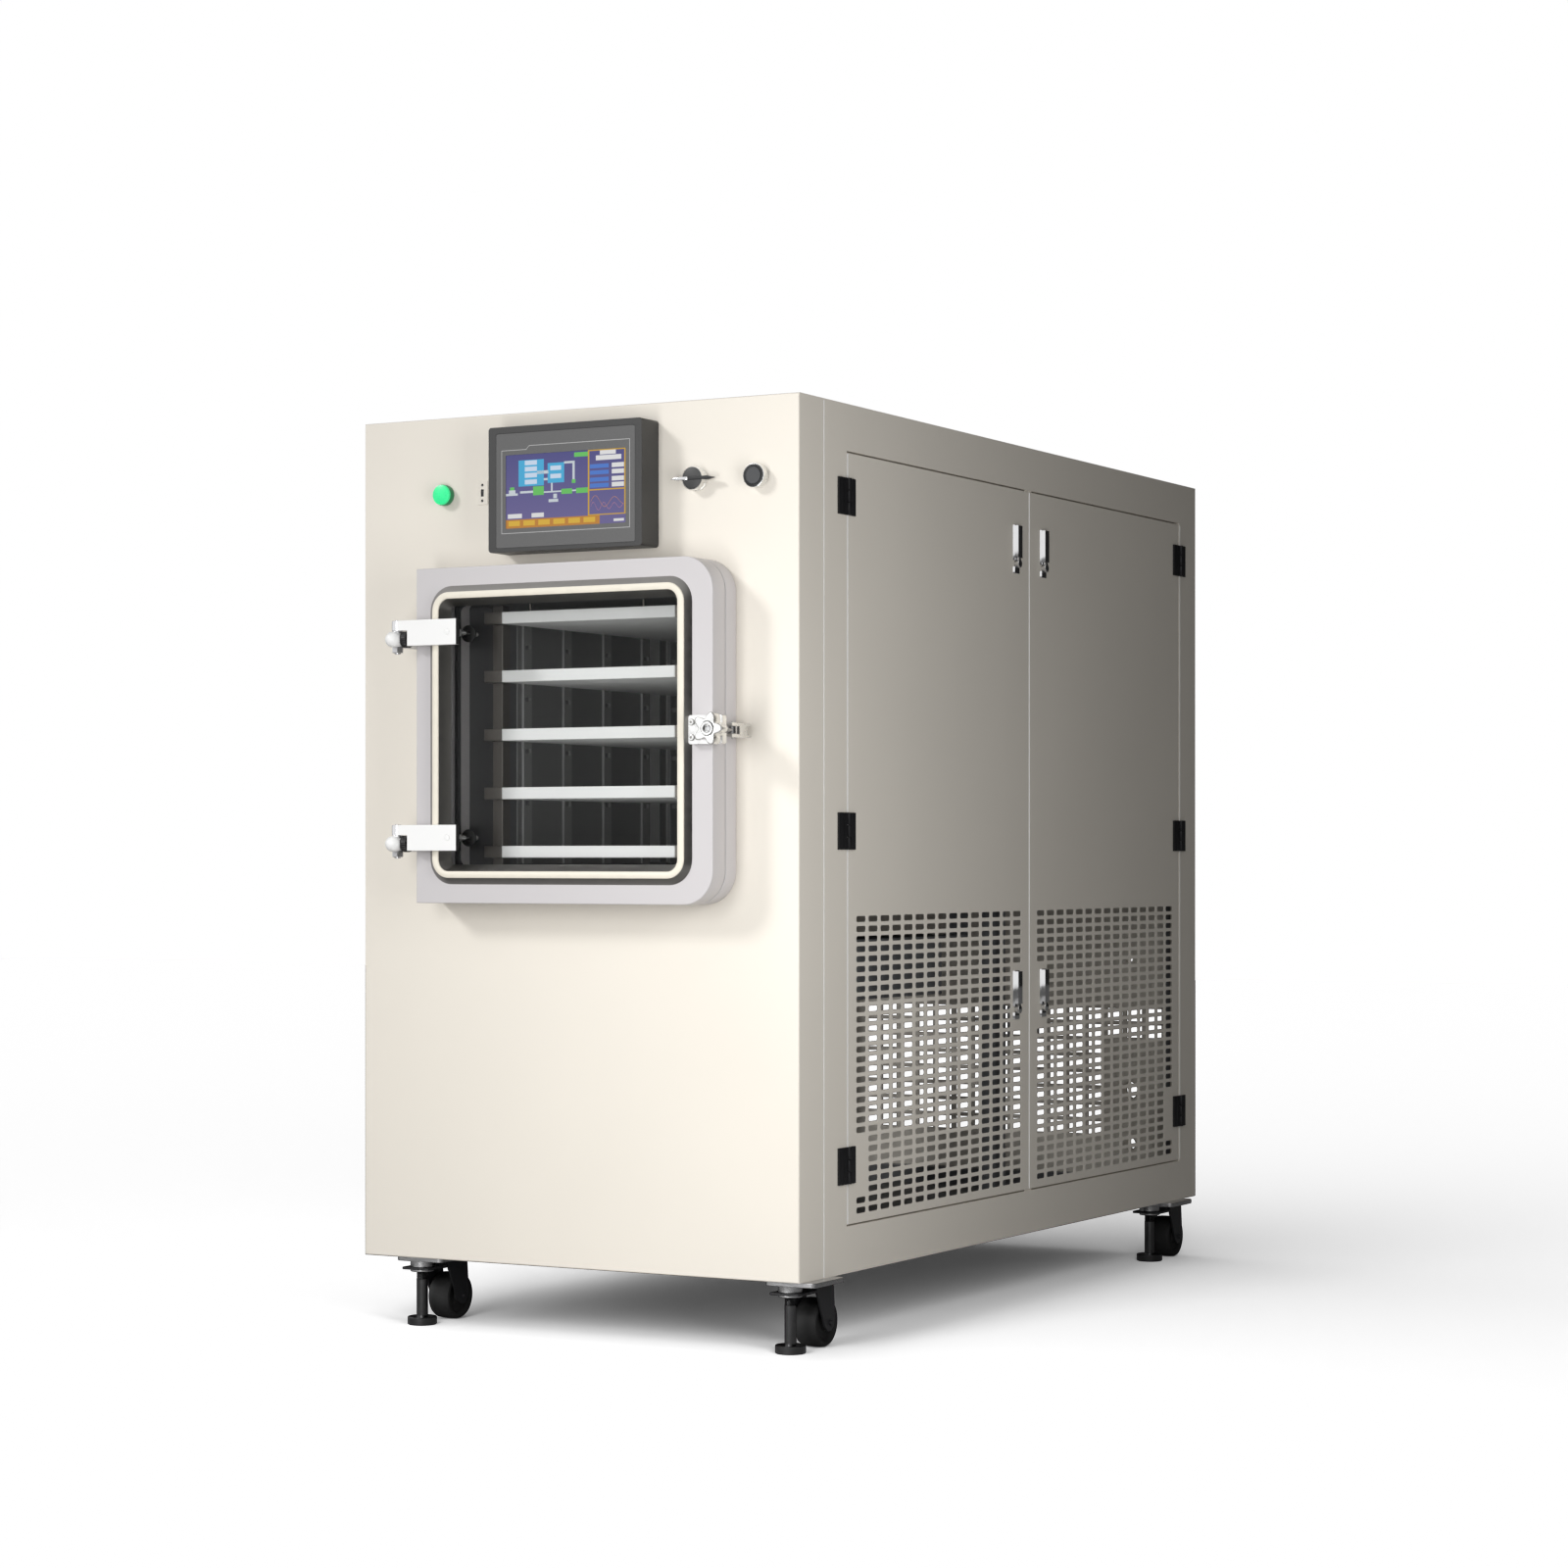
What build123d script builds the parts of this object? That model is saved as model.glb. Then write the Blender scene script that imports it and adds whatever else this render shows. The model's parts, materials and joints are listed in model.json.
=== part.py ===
from build123d import *
import os

# Freeze dryer. Millimetres, +X to the cabinet's right, +Y to its back, +Z up, feet on Z = 0.
# Functions take u, y and z as (from, to) pairs measured from the cabinet's left side, front
# face and underside; y below zero is in front of the cabinet.

# Cabinet
width = 770.0
depth = 1500.0
height = 1290.0
caster_height = 108.0
sheet = 1.5
front_sheet = 2.0
rear_sheet = 2.0
base_sheet = 3.0
panel_gap = 0.5
tray_depth = 74.7
edge_bend = 2.5

# Tube frame
tube_size = 30.0
tube_wall = 2.0
weld_gap = 0.2
frame_inset = 17.0
chamber_rail_top = 596.0
post_rows = (700.0,)
floor_rail_row = 600.0
chamber_rail_rows = (100.0, 640.0, 880.0, 1290.0)

# Chamber opening, flange and door; the window centre sets them all
window_u = 401.7
window_z = 801.3
chamber_size = (410.0, 400.0)
chamber_wall = 5.0
chamber_depth = 720.0
chamber_corner = 6.0
rib_rows = (160.0, 330.0, 500.0)
rib_size = (14.0, 12.0)
door_u = (146.0, 665.7)
door_z = (548.0, 1054.0)
door_corner = 50.0
flange_depth = 31.0
gasket_inset = 4.0
gasket_clearance = 0.3
gasket_window = (400.0, 394.0)
door_back = 33.0
door_front = 69.0
pane_size = (418.0, 408.0)
pane_front = 58.0
pane_corner = 11.0
window_clearance = 0.3
bezel_front = 76.6
bezel_foot = (459.3, 449.6, 38.0)
bezel_crest = (441.0, 430.4, 28.5)
bezel_lip = (419.6, 410.0, 18.0)
bezel_throat = (399.0, 390.0, 8.0)
seal_thickness = 3.0

# Door hinge: posts on the cabinet, straps and studs on the door
post_u = 118.0
pin_out = 78.0
post_out = 90.0
post_radius = 12.0
pin_radius = 5.0
pin_clearance = 0.35
strap_z = (956.0, 646.5)
strap_height = 39.0
strap_out = (80.0, 90.0)
strap_end = 232.3
strap_start = 143.0
post_drop = 9.0
eye_rise = 4.0
eye_radius = 9.0
grip_u = (124.0, 139.5)
grip_radius = 12.5
stud_u = 216.0
stud_radius = 4.0
stud_clearance = 0.5
sleeve_radius = 6.0
washer_radius = 13.0
stud_end_out = 10.0
cap_nut = (7.5, 6.0)
washer_thickness = 3.0
stud_nut = (7.0, 8.0)
pin_nut = (9.0, 10.0)

# Clamp: ear on the door, clevis on the cabinet, swing bolt with a star knob
ear_u = (631.8, 689.0)
ear_height = 42.0
ear_thickness = 12.0
ear_slot = 10.0
ear_corner = 4.0
ear_screws = (22.0, 6.0, 4.0, 3.0)
bolt_u = 684.0
bolt_pivot_out = 44.0
bolt_end_out = 114.0
bolt_radius = 4.0
bolt_eye_radius = 7.0
bolt_eye_height = 11.0
clevis_width = 12.0
clevis_height = 21.0
clevis_out = 55.0
clevis_slot = (33.0, 11.5)
clevis_back = 10.0
pivot_pin_proud = 2.5
pivot_pin_radius = 2.5
fit = 0.35
knob_hub = (11.0, 81.4, 97.0)
knob_lobe = (16.0, 7.5)
knob_star_front = 117.0
knob_recess = 111.0
knob_boss = (10.0, 118.0)
knob_bore = 6.0
knob_lobes = 5

# Shelves and the rack that carries them
shelf_u = (247.3, 555.3)
shelf_front = 10.0
shelf_back = 640.0
shelf_thickness = 18.0
shelf_top = 990.5
shelf_pitch = 89.0
shelf_count = 5
lug_u = 216.0
lug_rows = ((10.0, 60.0), (590.0, 640.0))
rack_post = (222.0, 240.0)
stop_rods = (297.0, 498.0)
shield_rows = (129.0, 700.0)
shield_strips = (152.0, 268.0, 387.5, 507.0, 596.5)
shield_slots = (945.0, 864.0, 783.0, 702.0)
shield_slot = (14.0, 7.0)
liner_thickness = 2.0
strip_thickness = 4.0
strip_width = 22.0
rack_post_depth = 20.0
stop_rod_radius = 2.0

# Controls on the front panel
hmi_u = (263.0, 533.0)
hmi_z = (1075.0, 1263.0)
hmi_out = 48.0
hmi_corner = 5.0
plate_corner = 3.0
plate_u = (276.4, 521.5)
plate_z = (1081.0, 1253.0)
plate_depth = 2.0
lamp_at = (152.0, 1171.5)
lamp_radius = 16.0
lamp_out = 14.0
lamp_round = 5.0
lamp_barrel = 38.0
switch_depth = 45.0
stem_bore_depth = 30.0
selector_stem = 26.0
button_stem = 20.0
selector_at = (600.0, 1173.0)
button_at = (702.5, 1172.0)
bezel_radius = 17.5
bezel_floor = 1.0
selector_ring_out = 4.5
button_ring_out = 16.0
switch_stem = 5.0
switch_barrel = 10.5
knob_disc = (17.0, 17.5)
lever_bar = (74.0, 5.0, 9.0, 18.5)
button_cap = (13.0, 5.5, 17.0)
socket_at = (220.0, 1172.0)
socket_size = (14.0, 30.0)
socket_rim = 6.0
socket_plate = 1.0
socket_depth = 12.0
socket_corner = 1.5

# Side doors on the right
side_seams = (146.8, 784.7, 1423.4)
side_door_z = (69.5, 1220.0)
door_play = 2.5
seam_play = 1.25
door_sheet = 1.2
door_return = 12.0
stop_strip = (2.0, 24.0)
surround_return = 15.5
hole_size = (30.0, 9.0)
hole_pitch = (39.0, 15.0)
hole_grid = (15, 30)
hole_rows_mid = 307.5
hinge_z = (1152.0, 656.0, 160.0)
hinge_leaf = (24.0, 55.0, 4.5)
hinge_axis_out = 4.0
knuckle_radius = 3.7
hinge_pin_radius = 1.6
latch_offset = 52.0
latch_z = (1119.5, 393.0)
latch_base = (20.0, 79.0, 5.5)
latch_pivot_drop = 23.5
latch_bar = (13.0, 64.0, 3.0)
latch_shaft = 4.5
latch_cam = (10.0, 50.0, 4.0)
cam_depth = 8.0

# Rear panel: grille round a blank corner for the two tubes, small vent, cable inlet
vent_grid = (16, 8)
vent_middle = (397.5, 222.0)
blank_from = 585.0
blank_below = 270.0
small_vent_at = (132.0, 413.0)
small_vent = (64.0, 32.0)
exhaust_at = (641.0, 188.0)
exhaust_radii = (20.0, 16.0)
drain_at = (641.0, 90.0)
drain_radii = (15.0, 12.0)
inlet_at = (640.0, 430.0)
inlet_plate = (62.0, 46.0, 12.0)
gland_radii = (12.0, 7.0)
gland_reach = 22.0

# Machinery behind the side doors
trap_radius = 190.0
trap_y = (820.0, 1380.0)
trap_u = 385.0
trap_round = 60.0
saddle = (220.0, 40.0)
duct_radius = 50.0
duct_flange = (18.0, 10.0)
pump_at = (215.0, 800.0)
pump_foot = (200.0, 150.0, 170.0, 10.0)
pump_motor = (72.0, 130.0, 155.0, 20.0)
pump_body = (180.0, 160.0, 240.0)
pump_filter = (22.0, 300.0)
compressor_at = (230.0, 350.0)
compressor_foot = (230.0, 8.0)
compressor_shell = (105.0, 300.0, 45.0)
compressor_stub = (8.0, 60.0, 200.0, 330.0)
condenser_u = (40.0, 120.0)
condenser_y = (990.0, 1290.0)
condenser_z = (40.0, 360.0)
condenser_core = 40.0
condenser_foot = 20.0
fan_radius = 125.0
fan_gap = 6.0
fan_hub = 28.0
fan_blade = (100.0, 46.0, 4.0)
fan_blades = 5
fan_shaft = 6.0
ebox_u = (470.0, 722.0)
ebox_y = (215.0, 560.0)
ebox_z = (400.0, 492.0)
ebox_flange = 4.0
ebox_tab = 40.0

# Casters: swivel fork round the kingpin of a levelling foot
caster_u = (77.0, 731.0)
caster_y = (45.0, 1380.0)
caster_plate = (84.0, 95.0, 7.0)
plate_shift = (16.0, 14.0)
kingpin_radius = 14.0
foot_stem = 8.5
foot_clearance = 0.5
race_radius = 18.0
fork_top = (-20.0, 86.0)
fork_level = (19.0, 22.0)
fork_leg = (22.0, 25.0)
fork_side = ((30.0, -8.5), (86.0, -8.5), (91.0, -64.0), (88.0, -76.0), (80.0, -83.0), (70.0, -83.0),
             (60.0, -75.0))
trail = 77.0
wheel_radius = 36.0
wheel_width = 38.0
wheel_lift = 1.0
axle_radius = 4.0
foot_pad = (22.5, 12.0)

# Reach beyond the cabinet box, which centres the frame on the whole machine
front_reach = knob_boss[1]
rear_reach = 25.0
side_reach = caster_u[1] + plate_shift[0] + caster_plate[0] / 2 - width


def across(u):
    return u - (width + side_reach) / 2


def back(y):
    return y - (depth + rear_reach - front_reach) / 2


def up(z):
    return z + caster_height


def mid(pair):
    return (pair[0] + pair[1]) / 2


def span(pair):
    return abs(pair[1] - pair[0])


def around(centre, size):
    return (centre - size / 2, centre + size / 2)


def out(*distances):
    """The y pair between distances in front of the cabinet."""
    return (-max(distances), -min(distances))


def panel_shape(size_x, size_y, corner):
    if corner:
        RectangleRounded(size_x, size_y, corner)
    else:
        Rectangle(size_x, size_y)


def block(u, y, z, corner=0.0, mode=Mode.ADD):
    """Block with upright edges of radius corner."""
    with BuildSketch(Plane.XY.offset(up(z[0]))) as plan:
        with Locations((across(mid(u)), back(mid(y)))):
            panel_shape(span(u), span(y), corner)
    extrude(plan.sketch, amount=span(z), mode=mode)


def front_slab(u, z, y, corner=0.0, mode=Mode.ADD):
    """Block drawn as seen from the front, corner rounding its four long edges."""
    with BuildSketch(Plane.XZ.offset(-back(y[1]))) as face:
        with Locations((across(mid(u)), up(mid(z)))):
            panel_shape(span(u), span(z), corner)
    extrude(face.sketch, amount=span(y), mode=mode)


def rod_y(u, z, y, radius, mode=Mode.ADD):
    with BuildSketch(Plane.XZ.offset(-back(y[1]))) as face:
        with Locations((across(u), up(z))):
            Circle(radius)
    extrude(face.sketch, amount=span(y), mode=mode)


def rod_z(u, y, z, radius, mode=Mode.ADD):
    with BuildSketch(Plane.XY.offset(up(z[0]))) as plan:
        with Locations((across(u), back(y))):
            Circle(radius)
    extrude(plan.sketch, amount=span(z), mode=mode)


def rod_x(u, y, z, radius, mode=Mode.ADD):
    with BuildSketch(Plane.YZ.offset(across(u[0]))) as side:
        with Locations((back(y), up(z))):
            Circle(radius)
    extrude(side.sketch, amount=span(u), mode=mode)


def save(builder, name):
    builder.part.label = name
    export_step(builder.part, "parts/" + name + ".step")


# Cabinet ---------------------------------------------------------------------------------

frame_u = (sheet, width - frame_inset - tube_size)
frame_y = (front_sheet, depth - rear_sheet - tube_size)
frame_z = (base_sheet, height - sheet - tube_size)


def tube(u, y, z):
    """Square tube along whichever pair is longest, stopping short of the tubes it meets."""
    pairs = [u, y, z]
    along = max(range(3), key=lambda i: span(pairs[i]))
    pairs[along] = (pairs[along][0] + weld_gap, pairs[along][1] - weld_gap)
    block(*pairs)
    bore = [(p[0] + tube_wall, p[1] - tube_wall) for p in pairs]
    bore[along] = (pairs[along][0] - 1, pairs[along][1] + 1)
    block(*bore, mode=Mode.SUBTRACT)


def bar(start):
    return (start, start + tube_size)


def build_frame():
    inner_u = (frame_u[0] + tube_size, frame_u[1])
    inner_z = (frame_z[0] + tube_size, frame_z[1])
    rail_z = bar(chamber_rail_top - tube_size)
    with BuildPart() as frame:
        for u in frame_u:
            for y in frame_y:
                tube(bar(u), bar(y), inner_z)
            for z in frame_z:
                tube(bar(u), (frame_y[0], frame_y[1] + tube_size), bar(z))
            for y in post_rows:
                tube(bar(u), bar(y), (inner_z[0], rail_z[0]))
                tube(bar(u), bar(y), (rail_z[1], inner_z[1]))
            tube(bar(u), (frame_y[0] + tube_size, frame_y[1]), rail_z)
        for y in frame_y + (floor_rail_row,):
            tube(inner_u, bar(y), bar(frame_z[0]))
        for y in frame_y + post_rows:
            tube(inner_u, bar(y), bar(frame_z[1]))
        for y in chamber_rail_rows:
            tube(inner_u, bar(y), rail_z)
    save(frame, "frame")


def build_front_panel():
    opening = (chamber_size[0] + 2 * chamber_wall + 2, chamber_size[1] + 2 * chamber_wall + 2)
    with BuildPart() as front_panel:
        block((0, width), (0, tray_depth), (0, height))
        fillet(front_panel.faces().sort_by(Axis.Y)[0].edges(), edge_bend)
        inside_u = (sheet, width - sheet)
        block(inside_u, (front_sheet, tray_depth + 1), (sheet, height - sheet), mode=Mode.SUBTRACT)
        front_slab(around(window_u, opening[0]), around(window_z, opening[1]), (-1, front_sheet + 1),
                   chamber_corner + chamber_wall + 1, mode=Mode.SUBTRACT)
        for u, z in (lamp_at, selector_at, button_at):
            rod_y(u, z, (-1, front_sheet + 1), switch_barrel + fit, mode=Mode.SUBTRACT)
        front_slab(around(socket_at[0], socket_size[0]), around(socket_at[1], socket_size[1]),
                   (-1, front_sheet + 1), socket_corner + fit, mode=Mode.SUBTRACT)
    save(front_panel, "front_panel")


def build_top_panel():
    with BuildPart() as top_panel:
        block((0, width), (tray_depth + panel_gap, depth - rear_sheet), (height - sheet, height))
    save(top_panel, "top_panel")


def hole_pattern(rows, columns, pitch, skip=()):
    """Hole centres of one door's perforated field, from its own middle."""
    spots = []
    for i in range(columns):
        for j in range(rows):
            if (i, j) not in skip:
                spots.append(((i - (columns - 1) / 2) * pitch[0], (j - (rows - 1) / 2) * pitch[1]))
    return spots


def wide_holes():
    """Size and pitch of the taller holes of the left side and the rear."""
    return (hole_size[0], hole_size[1] + hole_pitch[1]), (hole_pitch[0], 2 * hole_pitch[1])


def build_left_side_panel():
    size, pitch = wide_holes()
    spots = hole_pattern(hole_grid[1] // 2, hole_grid[0], pitch)
    with BuildPart() as left_side_panel:
        with BuildSketch(Plane.YZ.offset(across(0))) as side:
            span_y = (tray_depth + panel_gap, depth - rear_sheet)
            with Locations((back(mid(span_y)), up((height - sheet) / 2))):
                Rectangle(span(span_y), height - sheet)
            for start, end in zip(side_seams, side_seams[1:]):
                with Locations((back((start + end) / 2), up(hole_rows_mid))):
                    with Locations(*spots):
                        Rectangle(size[0], size[1], mode=Mode.SUBTRACT)
        extrude(side.sketch, amount=sheet)
    save(left_side_panel, "left_side_panel")


def build_rear_panel():
    """Sheet with a grille, the exhaust and drain tubes, and the cable inlet on its plate."""
    through = (depth - rear_sheet - 1, depth + rear_reach + 1)
    size, pitch = wide_holes()
    spots = []
    for u, z in hole_pattern(vent_grid[1], vent_grid[0], pitch):
        spot = (u + vent_middle[0], z + vent_middle[1])
        if spot[0] < blank_from or spot[1] > blank_below:
            spots.append((across(spot[0]), up(spot[1])))
    with BuildPart() as rear_panel:
        front_slab((0, width), (0, height), (depth - rear_sheet, depth))
        with BuildSketch(Plane.XZ.offset(-back(depth + 1))) as vents:
            with Locations(*spots):
                Rectangle(size[0], size[1])
            with Locations((across(small_vent_at[0]), up(small_vent_at[1]))):
                Rectangle(small_vent[0], small_vent[1])
        extrude(vents.sketch, amount=rear_sheet + 2, mode=Mode.SUBTRACT)
        for (u, z), (outer, bore) in ((exhaust_at, exhaust_radii), (drain_at, drain_radii)):
            rod_y(u, z, (depth, depth + rear_reach), outer)
            rod_y(u, z, through, bore, mode=Mode.SUBTRACT)
        u, z = inlet_at
        front_slab(around(u, inlet_plate[0]), around(z, inlet_plate[1]),
                   (depth, depth + inlet_plate[2]), 4)
        rod_y(u, z, (depth + inlet_plate[2], depth + gland_reach), gland_radii[0])
        rod_y(u, z, through, gland_radii[1], mode=Mode.SUBTRACT)
    save(rear_panel, "rear_panel")


surround_y = (tray_depth + panel_gap, depth - rear_sheet)
skin_u = width - sheet


def build_right_side_surround():
    seam_y = (side_seams[0], side_seams[2])
    flange_u = (skin_u - surround_return, skin_u)
    with BuildPart() as surround:
        block((skin_u, width), surround_y, (0, height - sheet))
        block((skin_u - 1, width + 1), seam_y, side_door_z, mode=Mode.SUBTRACT)
        for start in (seam_y[0] - sheet, seam_y[1]):
            block(flange_u, (start, start + sheet), (side_door_z[0] - sheet, side_door_z[1] + sheet))
        for start in (side_door_z[0] - sheet, side_door_z[1]):
            block(flange_u, seam_y, (start, start + sheet))
        for z in (frame_z[0] + tube_size / 2, frame_z[1] + tube_size / 2):
            block(flange_u, surround_y, around(z, sheet))
        block((skin_u - stop_strip[0], skin_u), around(side_seams[1], stop_strip[1]),
              (side_door_z[0] - 10, side_door_z[1] + 10))
    save(surround, "right_side_surround")


def build_base_plate():
    edge = sheet + panel_gap
    with BuildPart() as base_plate:
        block((edge, width - edge), (front_sheet + panel_gap, depth - rear_sheet), (0, base_sheet))
        block((0, width), (0, tray_depth + panel_gap), (-1, sheet), mode=Mode.SUBTRACT)
    save(base_plate, "base_plate")


# Chamber ---------------------------------------------------------------------------------

def door_shape(inset=0.0):
    """Outline of the door: square towards the hinge, rounded towards the clamp."""
    size = (span(door_u) - 2 * inset, span(door_z) - 2 * inset)
    with Locations((across(mid(door_u)), up(mid(door_z)))):
        RectangleRounded(size[0], size[1], door_corner - inset)
    with Locations((across(mid(door_u)) - door_corner / 2, up(mid(door_z)))):
        Rectangle(size[0] - door_corner, size[1])


def door_plate(y, inset=0.0):
    with BuildSketch(Plane.XZ.offset(-back(y[1]))) as face:
        door_shape(inset)
    extrude(face.sketch, amount=span(y))


def window_slab(size, y, corner, mode=Mode.ADD):
    front_slab(around(window_u, size[0]), around(window_z, size[1]), y, corner, mode)


def window_loft(near, near_out, far, far_out, mode=Mode.ADD):
    """Bevelled ring blank between two rounded rectangles (width, height, corner)."""
    faces = []
    for size, distance in ((near, near_out), (far, far_out)):
        with BuildSketch(Plane.XZ.offset(-back(-distance))) as face:
            with Locations((across(window_u), up(window_z))):
                RectangleRounded(size[0], size[1], size[2])
        faces.append(face.sketch.faces()[0])
    loft(sections=faces, ruled=True, mode=mode)


def build_chamber_flange():
    with BuildPart() as chamber_flange:
        door_plate(out(0, flange_depth))
        window_slab(chamber_size, out(-1, flange_depth + 1), chamber_corner, mode=Mode.SUBTRACT)
    save(chamber_flange, "chamber_flange")


def build_drying_chamber():
    shell = (chamber_size[0] + 2 * chamber_wall, chamber_size[1] + 2 * chamber_wall)
    ribbed = (shell[0] + 2 * rib_size[0], shell[1] + 2 * rib_size[0])
    outer = chamber_corner + chamber_wall
    with BuildPart() as drying_chamber:
        window_slab(shell, (0, chamber_depth), outer)
        for y in rib_rows:
            window_slab(ribbed, around(y, rib_size[1]), outer)
        window_slab(chamber_size, (-1, chamber_depth - chamber_wall), chamber_corner,
                    mode=Mode.SUBTRACT)
        rod_y(trap_u, window_z, (chamber_depth - chamber_wall - 1, chamber_depth + 1),
              duct_radius - chamber_wall, mode=Mode.SUBTRACT)
    save(drying_chamber, "drying_chamber")


def shelf_z(i):
    top = shelf_top - i * shelf_pitch
    return (top - shelf_thickness, top)


def build_shelf_stack():
    with BuildPart() as shelf_stack:
        for i in range(shelf_count):
            block(shelf_u, (shelf_front, shelf_back), shelf_z(i), corner=3)
    save(shelf_stack, "shelf_stack")


def build_shelf_posts():
    """Four posts with a lug each side of every shelf, and two rods over the top shelf."""
    floor = window_z - chamber_size[1] / 2
    ceiling = window_z + chamber_size[1] / 2
    with BuildPart() as shelf_posts:
        for side in (0, 1):
            def hand(pair):
                return pair if side == 0 else (sum(shelf_u) - pair[1], sum(shelf_u) - pair[0])
            for row in lug_rows:
                block(hand(rack_post), around(mid(row), rack_post_depth), (floor, ceiling))
                for i in range(shelf_count):
                    block(hand((lug_u, shelf_u[0])), row, shelf_z(i))
        for u in stop_rods:
            rod_z(u, shelf_front + 5, (shelf_top, ceiling), stop_rod_radius)
    save(shelf_posts, "shelf_posts")


def build_chamber_shields():
    """Slotted strips on a thin liner, one set against each side wall."""
    liner_z = around(window_z, chamber_size[1] - 2 * chamber_corner)
    with BuildPart() as chamber_shields:
        for side in (-1, 1):
            wall = window_u + side * chamber_size[0] / 2
            strip_back = wall - side * liner_thickness
            liner = sorted((wall, strip_back))
            strip = sorted((strip_back, strip_back - side * strip_thickness))
            block(liner, shield_rows, liner_z)
            for y in shield_strips:
                block(strip, around(y, strip_width), liner_z)
                for z in shield_slots:
                    block(strip, around(y, shield_slot[0]), around(z, shield_slot[1]),
                          mode=Mode.SUBTRACT)
    save(chamber_shields, "chamber_shields")


# Chamber door ----------------------------------------------------------------------------

def build_door_gasket():
    with BuildPart() as door_gasket:
        door_plate(out(flange_depth + gasket_clearance, door_back), gasket_inset)
        window_slab(gasket_window, out(flange_depth - 1, door_back + 1), pane_corner,
                    mode=Mode.SUBTRACT)
    save(door_gasket, "door_gasket")


def build_door_frame():
    opening = tuple(size + 2 * window_clearance for size in pane_size)
    with BuildPart() as door_frame:
        door_plate(out(door_back, door_front))
        window_slab(opening, out(door_back - 1, door_front + 1), pane_corner + window_clearance,
                    mode=Mode.SUBTRACT)
    save(door_frame, "door_frame")


def build_window_bezel():
    """Raised ring on the door face, with a skirt down to the pane and a bevel each side."""
    with BuildPart() as window_bezel:
        window_slab(pane_size, out(pane_front, door_front), pane_corner)
        window_loft(bezel_foot, door_front, bezel_crest, bezel_front)
        window_loft(bezel_lip, bezel_front, bezel_throat, pane_front, mode=Mode.SUBTRACT)
    save(window_bezel, "window_bezel")


def build_window_seal():
    with BuildPart() as window_seal:
        front = bezel_front + seal_thickness
        window_slab(bezel_crest, out(bezel_front, front), bezel_crest[2])
        window_slab(bezel_lip, out(bezel_front - 1, front + 1), bezel_lip[2], mode=Mode.SUBTRACT)
    save(window_seal, "window_seal")


def build_window_pane():
    with BuildPart() as window_pane:
        window_slab(pane_size, out(door_back, pane_front), pane_corner)
        for z in strap_z:
            rod_y(stud_u, z, out(door_back - 1, pane_front + 1), stud_radius + stud_clearance,
                  mode=Mode.SUBTRACT)
    save(window_pane, "window_pane")


def build_hinge_strap(name, centre):
    """Flat bar over the window edge; its upper half reaches to an eye on the hinge pin."""
    half = (centre + eye_rise, centre + strap_height / 2)
    with BuildPart() as strap:
        block((strap_start, strap_end), out(*strap_out), around(centre, strap_height))
        block((post_u, strap_start), out(*strap_out), half)
        rod_z(post_u, -pin_out, half, eye_radius)
        rod_z(post_u, -pin_out, (half[0] - 1, half[1] + 1), pin_radius + pin_clearance,
              mode=Mode.SUBTRACT)
        rod_y(stud_u, centre, out(strap_out[0] - 1, strap_out[1] + 1),
              stud_radius + stud_clearance, mode=Mode.SUBTRACT)
    save(strap, name)


def build_strap_bolts():
    """Studs from a cap nut on the strap, through the pane, to a washer and nut behind it."""
    washer_out = door_back - washer_thickness
    with BuildPart() as strap_bolts:
        for z in strap_z:
            rod_y(stud_u, z, out(stud_end_out, strap_out[1] + cap_nut[1]), stud_radius)
            rod_y(stud_u, z, out(strap_out[1], strap_out[1] + cap_nut[1]), cap_nut[0])
            rod_y(stud_u, z, out(pane_front, strap_out[0]), sleeve_radius)
            rod_y(stud_u, z, out(washer_out, door_back), washer_radius)
            rod_y(stud_u, z, out(washer_out - stud_nut[1], washer_out), stud_nut[0])
    save(strap_bolts, "strap_bolts")


def build_door_hinge_posts():
    """Round posts out of the front panel, each with an upright pin and a black grip nut."""
    with BuildPart() as posts:
        for centre in strap_z:
            z = centre - post_drop
            eye = (centre + eye_rise, centre + strap_height / 2)
            rod_y(post_u, z, out(0, post_out), post_radius)
            rod_z(post_u, -pin_out, (z - post_radius - pin_nut[1], eye[1] + 1), pin_radius)
            rod_z(post_u, -pin_out, (z, eye[0] - fit), eye_radius)
            with BuildSketch(Plane.XY.offset(up(z - post_radius - pin_nut[1] + 2))) as nut:
                with Locations((across(post_u), back(-pin_out))):
                    RegularPolygon(pin_nut[0], 6)
            extrude(nut.sketch, amount=pin_nut[1])
            rod_x(grip_u, -pin_out, z, grip_radius)
    save(posts, "door_hinge_posts")


def build_clamp_ear():
    height_z = around(window_z, ear_height)
    faces = out(door_front, door_front + ear_thickness)
    cut = out(door_front - 1, door_front + ear_thickness + 1)
    with BuildPart() as clamp_ear:
        front_slab(ear_u, height_z, faces, ear_corner)
        rod_y(bolt_u, window_z, cut, ear_slot / 2, mode=Mode.SUBTRACT)
        front_slab((bolt_u, ear_u[1] + 1), around(window_z, ear_slot), cut, mode=Mode.SUBTRACT)
        spread, inset, radius, proud = ear_screws
        for z in around(window_z, spread):
            rod_y(ear_u[0] + inset, z, out(door_front, door_front + ear_thickness + proud), radius)
    save(clamp_ear, "clamp_ear")


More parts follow.
